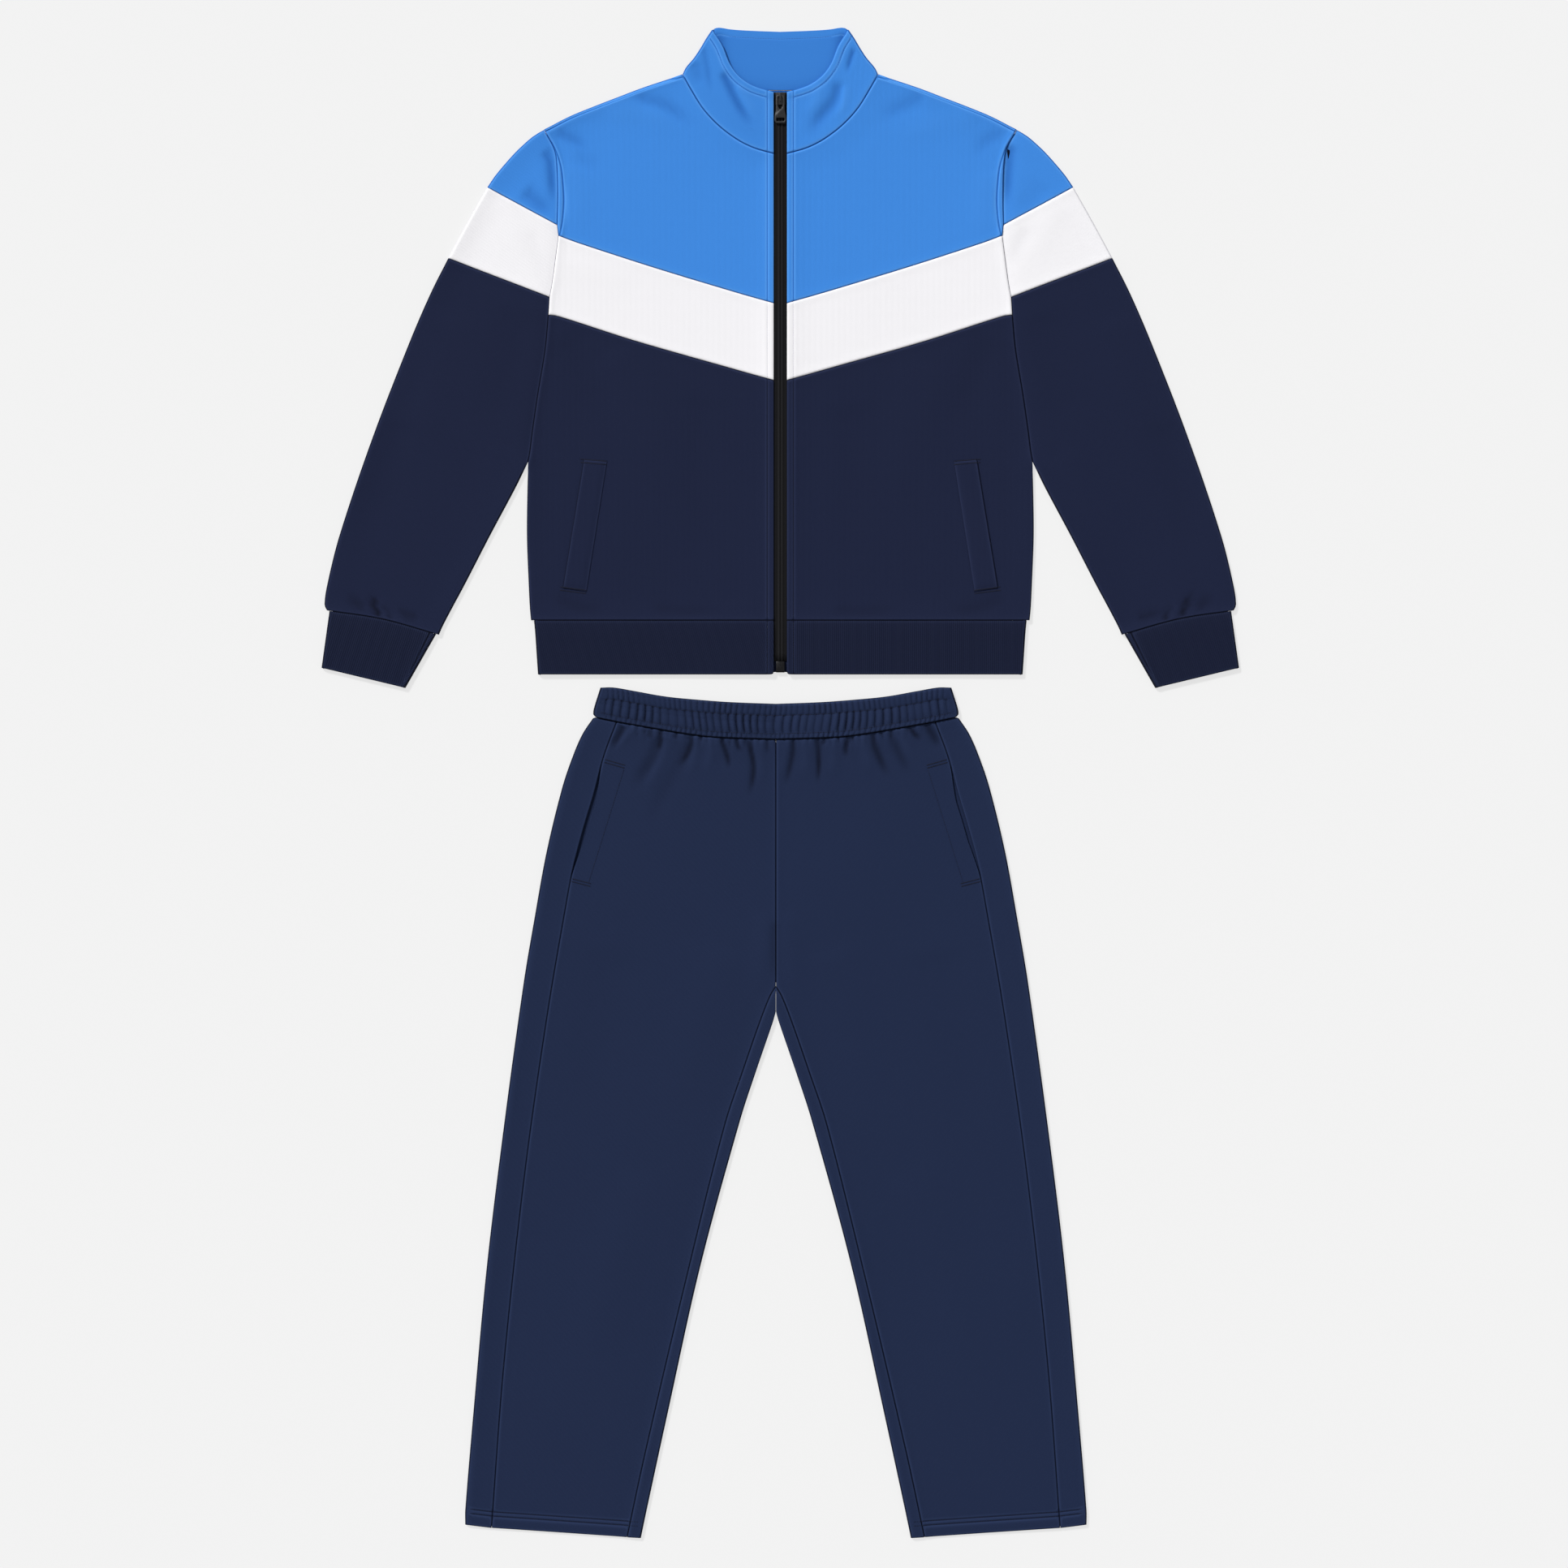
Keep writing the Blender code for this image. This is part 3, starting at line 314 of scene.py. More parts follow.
# Each dye has its darker and lighter shade, the painted highlight of its ridges, the painted shade of its
# grooves, and its sheen.
DYES = {
    "blue": (
        (0.046, 0.242, 0.735), (0.056, 0.274, 0.798),
        (0.12, 0.39, 0.92), (0.012, 0.095, 0.40),
        0.02,
    ),
    "white": (
        (0.935, 0.925, 0.955), (0.965, 0.955, 0.98),
        (0.975, 0.965, 0.985), (0.76, 0.75, 0.80),
        0.0,
    ),
    "navy": (
        (0.0088, 0.0134, 0.0405), (0.0116, 0.0174, 0.051),
        (0.023, 0.032, 0.082), (0.002, 0.003, 0.011),
        0.01,
    ),
    "rib": (
        (0.0065, 0.0098, 0.0295), (0.0086, 0.0128, 0.0375),
        (0.018, 0.026, 0.066), (0.002, 0.003, 0.010),
        0.01,
    ),
    "tape": (
        (0.0090, 0.0090, 0.0106), (0.0150, 0.0150, 0.0172),
        (0.026, 0.026, 0.028), (0.001, 0.001, 0.001),
        0.0,
    ),
    "leg": (
        (0.0112, 0.0198, 0.056), (0.0142, 0.0252, 0.070),
        (0.025, 0.042, 0.108), (0.002, 0.004, 0.015),
        0.01,
    ),
}
FINISH = {
    name: knit_material(f"{name}_cloth", *dye, ribs=RIB_RELIEF * (name == "rib"))
    for name, dye in DYES.items()
}
print("cloth materials:", ", ".join(FINISH))

# %% [markdown]
# ## Measured lines
# These tables repeat the model's own, in millimetres, for the half at the wearer's left.
# The jacket is measured from the foot of its zip, and the trousers from the middle of the waist.

# %% Jacket tables
MM = 0.001
SIDES = ((-1, "right"), (1, "left"))
CLOTH = 1.2
COLLAR_WALL = 2.0
BAND_WALL = 2.2
WELT_WALL = 1.4
SEAM_GAP = 0.3
HALF_GAP = SEAM_GAP / 2
EDGE_HEIGHT = 5.6
MIDDLE_HEIGHT = 4.4
SETTLE_WIDTH = 30.0
BAND_HEIGHT = 6.3
WAIST_HEIGHT = 7.4
COLLAR_FOOT_HEIGHT = 6.2
COLLAR_MOUTH_HEIGHT = 7.2
ROLL_FOOT = CLOTH + SEAM_GAP
ROLL_RADIUS = 2.4
JACKET_AT = (0.0, 126.8)
TROUSERS_AT = (-5.2, 111.6)

ZIP_EDGE_X = 7.6
HEM_SEAM_Y = 63.5
NECK_POINT = (114.5, 702.0)
SHOULDER_POINT = (276.5, 637.5)
UNDERARM = (295.0, 249.2)
BODY_SIDE = [(291.7, HEM_SEAM_Y), (293.1, 77.2), (294.5, 105.7), (296.6, 162.7), (295.9, 219.7), UNDERARM]
SHOULDER_LINE = [NECK_POINT, (160.1, 687.1), (190.0, 675.7), (219.5, 664.3), (247.0, 652.9), SHOULDER_POINT]
NECK_AT_ZIP = 609.1
YOKE_AT_ZIP = 434.2
BAND_AT_ZIP = 344.1
NECK_SEAM = [
    (ZIP_EDGE_X, NECK_AT_ZIP), (30.9, 615.8), (49.9, 625.3), (71.7, 641.6), (90.3, 661.6), (103.6, 682.8),
    NECK_POINT,
]
BACK_NECK_SEAM = [(0.0, 683.5), (60.0, 685.0), (96.0, 691.0), NECK_POINT]
ARMHOLE_TO_BODY_BAND = [
    UNDERARM, (293.1, 258.7), (290.2, 282.4), (283.6, 328.0), (275.0, 380.3), (271.2, 420.6),
]
ARMHOLE_TO_SLEEVE_BAND = [(271.2, 420.6), (269.9, 441.5)]
ARMHOLE_TO_BODY_YOKE = [(269.9, 441.5), (267.0, 456.3), (259.4, 513.3)]
ARMHOLE_TO_SLEEVE_CAP = [(259.4, 513.3), (261.0, 525.9)]
ARMHOLE_TO_SHOULDER = [(261.0, 525.9), (260.3, 561.7), (261.3, 595.9), (264.1, 613.9), SHOULDER_POINT]
YOKE_SEAM = [(ZIP_EDGE_X, YOKE_AT_ZIP), (54.2, 447.7), (148.2, 476.2), (236.1, 504.7), (259.4, 513.3)]
BAND_SEAM = [(ZIP_EDGE_X, BAND_AT_ZIP), (71.7, 362.2), (171.5, 390.7), (260.3, 419.2), (271.2, 420.6)]
BACK_SEAM_DROP = 2.2
# The second line inside the armhole, on the yoke alone, and how far in the line along the shoulder runs.
ARMHOLE_PIPING = [
    (276.9, 635.8),
    (264.6, 616.8),
    (257.0, 595.9),
    (254.1, 573.1),
    (253.2, 551.2),
    (255.1, 528.4),
    (257.9, 514.2),
]
SHOULDER_LINE_IN = 3.3
HEM_BAND_SIDE = [(283.6, 0.0), (285.0, 19.9), (286.9, 48.4), (288.3, HEM_SEAM_Y)]
CAP_OUTER = [(342.9, 570.0), (333.0, 584.5), (313.5, 607.3), (302.1, 618.7), (288.8, 630.1), SHOULDER_POINT]
BAND_OUTER = [(388.6, 487.1), (366.0, 529.0), (342.9, 570.0)]
LOWER_OUTER = [
    (530.5, 75.0),
    (533.4, 81.9),
    (530.1, 105.7),
    (515.9, 162.7),
    (477.4, 276.7),
    (433.2, 390.7),
    (408.5, 447.7),
    (388.6, 487.1),
]
SLEEVE_INNER = [
    (399.5, 46.5), (395.2, 56.3), (384.3, 77.2), (369.0, 105.7), (339.6, 162.7), (309.2, 219.7),
    UNDERARM,
]
CUFF_SEAM = [(399.5, 46.5), (465.3, 65.0), (530.5, 75.0)]
CUFF_STEP = 3.0
CUFF_INNER_END = (438.4, -15.9)
CUFF_OUTER_END = (536.8, 7.8)
CUFF_SIDE_SEAM = [(409.9, 48.7), (440.3, -13.1)]
COLLAR_CORNER = (79.8, 754.5)
COLLAR_SIDE = [NECK_POINT, (110.7, 709.9), (101.2, 721.3), (93.6, 732.7), (86.9, 744.1), COLLAR_CORNER]
COLLAR_MOUTH = [
    (ZIP_EDGE_X, 681.4),
    (19.0, 684.3),
    (34.2, 690.0),
    (48.5, 700.4),
    (58.9, 714.7),
    (67.5, 735.6),
    COLLAR_CORNER,
]
COLLAR_BACK_TOP = [(0.0, 752.1), (39.4, 753.6), (58.4, 755.0), (73.0, 757.0), COLLAR_CORNER]
WELT_MOUTH = [(254.6, 101.0), (229.9, 252.0)]
WELT_INNER = [(226.6, 96.7), (202.4, 250.1)]
print("jacket tables are ready")

# %% Trouser tables
WAIST_BOTTOM = [(0.0, -60.6), (70.3, -58.1), (105.5, -54.0), (147.3, -46.9), (186.2, -40.0), (211.0, -34.6)]
WAIST_TOP = [
    (0.0, -18.9), (53.2, -16.9), (91.2, -14.1), (129.2, -10.3), (167.2, -3.6), (190.0, 0.2),
    (205.4, 0.0),
]
WAIST_SIDE = [(211.0, -34.6), (213.8, -31.2), (212.8, -23.6), (208.1, -8.4), (205.4, 0.0)]
LEG_OUTER = [
    (363.4, -979.0),
    (363.4, -962.2),
    (353.9, -848.2),
    (338.2, -677.2),
    (317.3, -506.2),
    (295.0, -344.7),
    (282.2, -268.7),
    (268.4, -192.7),
    (249.9, -116.7),
    (237.0, -78.7),
    (226.1, -54.0),
    (213.5, -35.1),
]
LEG_INNER = [
    (157.9, -994.7),
    (151.1, -962.2),
    (126.4, -848.2),
    (88.4, -677.2),
    (41.8, -506.2),
    (23.3, -449.2),
    (3.8, -392.2),
    (0.0, -378.9),
]
IN_SEAM = [
    (174.0, -993.8),
    (153.0, -896.0),
    (106.0, -696.0),
    (60.0, -512.0),
    (39.0, -449.2),
    (18.5, -390.3),
    (6.7, -360.4),
    (0.0, -349.4),
]
SIDE_SEAM = [
    (332.5, -983.0),
    (318.0, -791.2),
    (293.0, -563.2),
    (267.0, -381.0),
    (245.6, -255.4),
    (237.5, -212.6),
    (224.2, -162.3),
    (212.8, -124.3),
    (201.4, -80.6),
    (186.2, -40.0),
]
# Heights of matching rows on each line of a leg, from the hem past the crotch to the waist.
ROWS_TO_CROTCH = 10
ROW_HEIGHTS = {
    "outer": [
        -979, -920, -845, -765, -685, -600, -515, -435, -360, -296, -260, -222, -176, -129, -84,
        -62, -46, -35.1,
    ],
    "side": [
        -983, -924, -849, -769, -689, -604, -519, -439, -364, -298, -262, -225, -179, -132, -88,
        -66, -50, -40,
    ],
    "inner": [
        -994.7, -938, -863, -783, -699, -614, -530, -460, -405, -378.9, -318, -252, -194, -150,
        -113, -89, -73, -60.6,
    ],
    "inseam": [
        -993.8, -936, -861, -781, -697, -610, -522, -440, -375, -349.4, -288, -232, -184, -145,
        -111, -88, -72, -60.6,
    ],
}
POCKET_SET_BACK = [0.0] * 12 + [4.4, 4.6] + [0.0] * 4
print("trouser tables are ready")

# %% [markdown]
# ## Lines and grids
# A piece is cut like a paper pattern: four smooth lines bound it, and a grid of points fills it.
# The points crowd together beside each seam, where the cloth turns down sharply.
# The same smoothing as in the model keeps both pieces of a seam 0.3 mm apart.

# %% Line helpers
# Distances from a seam at which a grid has extra rows.
NEAR = (0.4, 1.0, 1.7, 2.4, 4.5, 8.0)
NEAR_FOLD = (5.0, 8.5)
NEAR_ZIP = (0.4, 1.0, 1.7, 2.6, 4.2, 6.0, 7.0, 7.7, 8.4, 9.4, 12.0)
NEAR_MOUTH = (0.4, 1.0, 1.7, 2.6, 4.5, 6.6, 7.5, 8.1, 8.7, 9.3, 10.2, 12.0)
NEAR_WELT = (0.3, 0.7, 1.1, 1.7, 2.4)
NEAR_ARM = (0.4, 1.0, 1.7, 2.4, 3.2, 4.0, 4.8, 5.6, 6.4, 7.2, 8.0, 8.8, 9.8)
NEAR_SHOULDER = (0.4, 1.0, 1.7, 2.4, 2.9, 3.3, 3.7, 4.3, 5.2, 8.0)
NEAR_CUFF = (5.0, 6.4, 7.0, 7.6, 8.2, 9.0)


def smooth(points, steps=8):
    """Points along a smooth curve through the given ones."""
    knots = np.array(points, float)
    if len(knots) == 2:
        return knots
    ends = np.vstack([2 * knots[0] - knots[1], knots, 2 * knots[-1] - knots[-2]])
    t = (np.arange(steps) / steps)[:, None]
    line = []
    for before, a, b, after in zip(ends, ends[1:], ends[2:], ends[3:]):
        back, span, ahead = (np.linalg.norm(q) for q in (a - before, b - a, after - b))
        leave = (b - before) * (span / (back + span))
        reach = (after - a) * (span / (ahead + span))
        start = a * (2 * t**3 - 3 * t**2 + 1) + leave * (t**3 - 2 * t**2 + t)
        line.append(start + b * (3 * t**2 - 2 * t**3) + reach * (t**3 - t**2))
    return np.vstack([*line, knots[-1:]])


def lengths(line):
    return np.r_[0.0, np.cumsum(np.linalg.norm(np.diff(line, axis=0), axis=1))]


def at_marks(line, marks):
    """Points at given distances along a line."""
    reach = lengths(line)
    return np.column_stack([np.interp(marks, reach, line[:, k]) for k in range(line.shape[1])])


def run(points, spans, start=(), end=(), share=(0.0, 1.0)):
    """Even points on the smooth curve, or on a share of it, with extra ones near its ends."""
    line = smooth(points)
    low, high = (lengths(line)[-1] * s for s in share)
    even = np.linspace(low + (start[-1] if start else 0.0), high - (end[-1] if end else 0.0), spans + 1)
    ahead = [low, *(low + d for d in start[:-1])] if start else []
    after = [*(high - d for d in end[-2::-1]), high] if end else []
    return at_marks(line, np.r_[ahead, even, after])


def joined(*lines):
    return np.vstack([lines[0], *(line[1:] for line in lines[1:])])


def moved(line, distance):
    """The line moved to its own left by a distance."""
    step = np.diff(line, axis=0)
    step /= np.linalg.norm(step, axis=1)[:, None]
    first, second = np.vstack([step[:1], step]), np.vstack([step, step[-1:]])
    turn = first + second
    normal = np.column_stack([-turn[:, 1], turn[:, 0]])
    return line + normal * (distance / (1 + (first * second).sum(1)))[:, None]


def crossing(a, b, c, d):
    """Where two lines meet, or midway between their starts when they run almost the same way."""
    one, two = b - a, d - c
    turn = one[0] * two[1] - one[1] * two[0]
    if abs(turn) < 0.2 * np.linalg.norm(one) * np.linalg.norm(two):
        return (a + c) / 2
    gap = c - a
    return a + one * ((gap[0] * two[1] - gap[1] * two[0]) / turn)


def drawn_in(bottom, top, left, right):
    """The four lines of an outline, each moved in by half the seam gap."""
    b, t = moved(bottom, HALF_GAP), moved(top, -HALF_GAP)
    l, r = moved(left, -HALF_GAP), moved(right, HALF_GAP)
    b[0] = l[0] = crossing(b[0], b[1], l[0], l[1])
    b[-1] = r[0] = crossing(b[-1], b[-2], r[0], r[1])
    t[0] = l[-1] = crossing(t[0], t[1], l[-1], l[-2])
    t[-1] = r[-1] = crossing(t[-1], t[-2], r[-1], r[-2])
    return b, t, l, r


def mapped(bottom, top, left, right):
    """A grid of plan points that fills the area between four lines."""
    sb, st, sl, sr = (lengths(line) / lengths(line)[-1] for line in (bottom, top, left, right))
    sl, sr = sl[:, None], sr[:, None]
    u, v = (sb + st) / 2 + 0 * sl, (sl + sr) / 2 + 0 * sb
    for _ in range(3):
        u = sb + (st - sb) * v
        v = sl + (sr - sl) * u
    u, v = u[..., None], v[..., None]
    lower = bottom[0] * (1 - u) + bottom[-1] * u
    upper = top[0] * (1 - u) + top[-1] * u
    across = left[:, None] * (1 - u) + right[:, None] * u
    return across + bottom[None] * (1 - v) + top[None] * v - lower * (1 - v) - upper * v


def nearest(plan, line):
    """Each plan point's distance from a line, and its share of the way along it."""
    shape, points = plan.shape[:-1], plan.reshape(-1, 2)
    a, span = line[:-1], np.diff(line, axis=0)
    share = np.clip(((points[:, None] - a) * span).sum(2) / (span**2).sum(1), 0.0, 1.0)
    gaps = np.linalg.norm(points[:, None] - a - share[..., None] * span, axis=2)
    k, n = gaps.argmin(1), np.arange(len(points))
    marks = lengths(line) / lengths(line)[-1]
    along = marks[k] + (marks[k + 1] - marks[k]) * share[n, k]
    return gaps[n, k].reshape(shape), along.reshape(shape)


print("line helpers are ready")

# %% [markdown]
# ## How high the cloth lies
# A doubled layer stands highest at its outer edges, where it folds, and settles towards the middle.
# A seam's profile lists how far the cloth dips or rises at given distances from the stitching.
# Folds are strokes on the cloth: each has a path, a width and a rise, and fades out at its ends.

# %% Seam profiles
# Each profile has distances, rises, and how strongly painted shade marks the line on the cloth.
SEAM = ((0.0, 0.4, 1.0, 1.7, 2.4, 4.5, 8.0), (-0.9, -0.5, -0.1, 0.2, 0.32, 0.22, 0.0), 1.0)
OVER = ((0.0, 0.4, 1.0, 1.7, 2.4, 4.5, 8.0), (-0.4, 0.1, 0.5, 0.75, 0.85, 0.55, 0.0), 0.95)
UNDER = ((0.0, 1.0, 2.4, 4.5, 9.0, 16.0), (-1.2, -1.15, -0.95, -0.65, -0.25, 0.0), 1.0)
ROUND = ((0.0, 0.4, 1.0, 1.7, 2.4, 4.5, 8.0), (-1.1, -0.5, -0.15, 0.05, 0.15, 0.1, 0.0), 1.0)
GROOVE = ((0.0, 0.4, 0.9, 1.5, 2.4, 4.5), (-0.85, -0.55, 0.0, 0.3, 0.34, 0.0), 1.0)
STITCHED = ((0.0, 0.7, 1.5, 3.0), (-0.4, -0.05, 0.12, 0.0), 0.9)
SUNK = ((0.0, 0.8, 1.6, 2.4), (-0.7, -0.1, 0.2, 0.0), 0.96)
ZIP_SIDE = (
    (0.0, 0.4, 1.0, 1.7, 2.6, 4.2, 6.0, 9.4, 12.0),
    (-0.5, 0.0, 0.35, 0.5, 0.6, 0.55, 0.4, 0.2, 0.0),
    0.7,
)
MARK_WIDTH = 4.0
NARROW_FOLD = 4.0
DEEP_FOLD = 1.6
# How far from an outer edge the broad waves reach their full height.
CALM_WIDTH = 18.0


def profile_rise(plan, seams):
    """The rise of all profiles together, and the mask of painted shade and highlight, which is highest on
    each line.
    """
    rise, line_shading_mask = np.zeros(plan.shape[:-1]), np.zeros(plan.shape[:-1])
    for line, (places, rises, mark) in seams:
        away, _ = nearest(plan, line)
        rise += np.interp(away, places, rises)
        line_shading_mask = np.maximum(line_shading_mask, mark * np.clip(1 - away / MARK_WIDTH, 0.0, 1.0))
    return rise, line_shading_mask


def ease(share):
    share = np.clip(share, 0.0, 1.0)
    return share * share * (3 - 2 * share)


def strokes_rise(plan, strokes):
    """Folds: their rise, and the painted shade in narrow troughs and painted highlight on narrow ridges.

    A row has a path, a width and a rise, which is below 0 for a trough."""
    rise, shade = np.zeros(plan.shape[:-1]), np.zeros(plan.shape[:-1])
    for path, width, height in strokes:
        away, share = nearest(plan, smooth(path, 4))
        bell = height * np.exp(-((away / width) ** 2)) * ease(share / 0.1) * ease((1 - share) / 0.45)
        rise += bell
        shade -= bell * min(1.0, NARROW_FOLD / width) ** 1.5
    return rise, shade


def waves(plan):
    """Broad, faint rises and hollows."""
    x, y = plan[..., 0], plan[..., 1]
    one = np.sin(x / 41.0 + 1.3 * np.sin(y / 67.0 + 0.6))
    two = np.sin(y / 53.0 + 1.1 * np.sin(x / 59.0 + 2.0))
    three = np.sin((x + 0.6 * y) / 29.0 + np.sin(y / 37.0))
    return 0.36 * one + 0.30 * two + 0.16 * three


RIMS = {
    "jacket": [
        BODY_SIDE,
        SHOULDER_LINE,
        NECK_SEAM,
        CAP_OUTER,
        BAND_OUTER,
        LOWER_OUTER,
        SLEEVE_INNER,
        CUFF_SEAM,
        [(0.0, HEM_SEAM_Y), (291.7, HEM_SEAM_Y)],
        [(ZIP_EDGE_X, HEM_SEAM_Y), (ZIP_EDGE_X, NECK_AT_ZIP)],
    ],
    "trousers": [LEG_OUTER, LEG_INNER, WAIST_BOTTOM],
}
RIM_LINES = {garment: [smooth(rim, 4) for rim in rims] for garment, rims in RIMS.items()}


def marked(plan, height, line_shading_mask, shade=None):
    """Grid points as x, y, z, and the painted shading on lines and in hollows."""
    hollow = np.zeros(plan.shape[:-1]) if shade is None else np.clip(shade / DEEP_FOLD, -1.0, 1.0)
    return np.concatenate([plan, height[..., None], line_shading_mask[..., None], hollow[..., None]], axis=-1)


def lay(plan, garment, seams, side, strokes=()):
    """The upper layer over a grid of plan points, with both attributes."""
    away = np.min([nearest(plan, rim)[0] for rim in RIM_LINES[garment]], axis=0)
    height = EDGE_HEIGHT + (MIDDLE_HEIGHT - EDGE_HEIGHT) * ease(away / SETTLE_WIDTH)
    rise, line_shading_mask = profile_rise(plan, seams)
    signed = plan * (side, 1.0)
    calm = ease(away / CALM_WIDTH)
    folds, shade = strokes_rise(signed, strokes)
    return marked(plan, height + rise + waves(signed) * calm + folds, line_shading_mask, shade)


print("height helpers are ready")

# %% [markdown]
# ## Turned edges and the cloth's wall
# A point is kept as x, y, z, and its painted shading on lines and in hollows. Along an open edge the cloth
# rolls down to the layer below.
# Along a folded edge it makes a half turn and runs back underneath, flat on the floor.
# The grids become a mesh, are welded where they meet, and get their wall from the Solidify modifier.

# %% Turned edges
# How strongly painted shade marks an outer edge on its way down, where the cloth faces sideways.
ROLL_MARKS = (0.4, 0.85, 1.0, 1.0, 1.0)
TURN_MARKS = ((0, 22, 40, 180), (0.4, 0.8, 1.0, 1.0))


def rolled(row, follow):
    """The last five points of a row, turned down to the layer below where follow is 1."""
    row = row.copy()
    if follow <= 0.0:
        return row
    edge = row[-1, :2].copy()
    inward = row[-6, :2] - edge
    inward = inward / np.linalg.norm(inward)
    high = row[-5, 2]
    angles = np.radians([0, 30, 60, 90])
    steps = [(ROLL_RADIUS * (1 - math.sin(a)), high - ROLL_RADIUS * (1 - math.cos(a))) for a in angles]
    for k, (d, z), dark in zip((-5, -4, -3, -2, -1), [*steps, (0.0, ROLL_FOOT)], ROLL_MARKS):
        place = np.r_[edge + inward * d, z, dark]
        row[k, :4] = row[k, :4] * (1 - follow) + place * follow
    return row


def half_turn(edge, above, below, steps=8):
    """A half turn at an edge, from the layer above to the layer below."""
    radius = edge[2] / 2
    turned = []
    for k in range(steps + 1):
        inward = (above if k <= steps // 2 else below)[:2] - edge[:2]
        inward = inward / np.linalg.norm(inward)
        angle = math.pi * k / steps
        d, z = radius * (1 - math.sin(angle)), radius * (1 + math.cos(angle))
        turned.append(np.r_[edge[:2] + inward * d, z, np.interp(math.degrees(angle), *TURN_MARKS), 0.0])
    return np.array(turned)


def flat(plan):
    """Plan points on the floor."""
    return np.column_stack([plan, np.zeros((len(plan), 3))])


def folded(row, lower):
    return np.vstack([row[:-1], half_turn(row[-1], row[-2], lower[0]), flat(lower)])


def mirrored(points):
    return points * np.array([-1.0] + [1.0] * (points.shape[-1] - 1))


def both_halves(half):
    """A row from the zip round to the middle of the back, and on to the other half."""
    return np.vstack([half, mirrored(half[-2::-1])])


print("edge helpers are ready")


def cloth_map(grid, grain):
    """Metres along and across the cloth: the distance along each row, and the height along the grain."""
    c, s = math.cos(grain), math.sin(grain)
    across = grid[..., 0] * c + grid[..., 1] * s
    up = grid[..., 1] * c - grid[..., 0] * s
    steps = np.hypot(np.diff(across, axis=1), np.diff(grid[..., 2], axis=1))
    travelled = np.concatenate([across[:, :1], across[:, :1] + np.cumsum(steps, axis=1)], axis=1)
    return np.stack([travelled, up], axis=-1) * MM


def skin(name, grids, wall, finish, at, side=1, grain=0.0, single=False):
    """Grids of points, welded where they meet and thickened inwards to a wall."""
    places, maps, line_shading_mask, hollow, quads, base = [], [], [], [], [], 0
    for grid in grids:
        grid = np.array(grid)
        rows, columns = grid.shape[:2]
        place = grid[..., :3] * (side, 1.0, 1.0) + (*at, 0.0)
        places.append(place.reshape(-1, 3) * MM)
        maps.append(cloth_map(grid, grain).reshape(-1, 2))
        line_shading_mask.append(grid[..., 3].ravel())
        hollow.append(grid[..., 4].ravel())
        index = base + np.arange(rows * columns).reshape(rows, columns)
        corners = [index[:-1, :-1], index[:-1, 1:], index[1:, 1:], index[1:, :-1]]
        quads.append(np.stack(corners, axis=-1).reshape(-1, 4))
        base += rows * columns
    places, maps, line_shading_mask, hollow, quads = (np.concatenate(part) for part in (places, maps, line_shading_mask, hollow, quads))
    mesh = bpy.data.meshes.new(name)
    mesh.from_pydata(places.tolist(), [], quads.tolist())
    layer = mesh.uv_layers.new(name="cloth")
    layer.data.foreach_set("uv", maps[quads.ravel()].ravel())
    # Two masks of painted shading: along seams and edges, and in the troughs and on the ridges of folds.
    mesh.attributes.new("painted_shading", "FLOAT", "POINT").data.foreach_set("value", line_shading_mask)
    mesh.attributes.new("hollow", "FLOAT", "POINT").data.foreach_set("value", hollow)
    weld_and_face_out(mesh, single)
    mesh.shade_smooth()
    mesh.materials.append(FINISH[finish])
    obj = bpy.data.objects.new(name, mesh)
    bpy.context.scene.collection.objects.link(obj)
    thicken = obj.modifiers.new("cloth", "SOLIDIFY")
    thicken.thickness = wall * MM
    thicken.offset = -1.0
    thicken.use_even_offset = True
    bpy.context.view_layer.objects.active = obj
    bpy.ops.object.modifier_apply(modifier=thicken.name)
    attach(obj, "garments")
    return obj


def weld_and_face_out(mesh, single):
    """Doubles merged, then faces turned outwards: up on an upper layer, and all over a single one."""
    bm = bmesh.new()
    bm.from_mesh(mesh)
    bmesh.ops.remove_doubles(bm, verts=bm.verts[:], dist=0.02 * MM)
    bmesh.ops.recalc_face_normals(bm, faces=bm.faces[:])
    heights = [v.co.z for v in bm.verts]
    middle = (min(heights) + max(heights)) / 2 - 0.0001
    upward = sum(f.calc_area() * f.normal.z for f in bm.faces if f.calc_center_median().z > middle)
    if single:
        bmesh.ops.reverse_faces(bm, faces=[f for f in bm.faces if f.normal.z < 0])
    elif upward < 0:
        bmesh.ops.reverse_faces(bm, faces=bm.faces[:])
    bm.to_mesh(mesh)
    bm.free()


def declare(node):
    """Hides the model's node, whose place a piece made here takes."""
    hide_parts(node)


print("cloth helpers are ready")

# %% [markdown]
# ## Jacket fronts
# Each front is three pieces: navy below, a white band, and a blue yoke that runs up to the shoulder.
# The lower piece rolls down at the body's side, and the yoke rolls down along the shoulder.
# At the armhole the body lies over the sleeve, so its edge stands a little proud there.

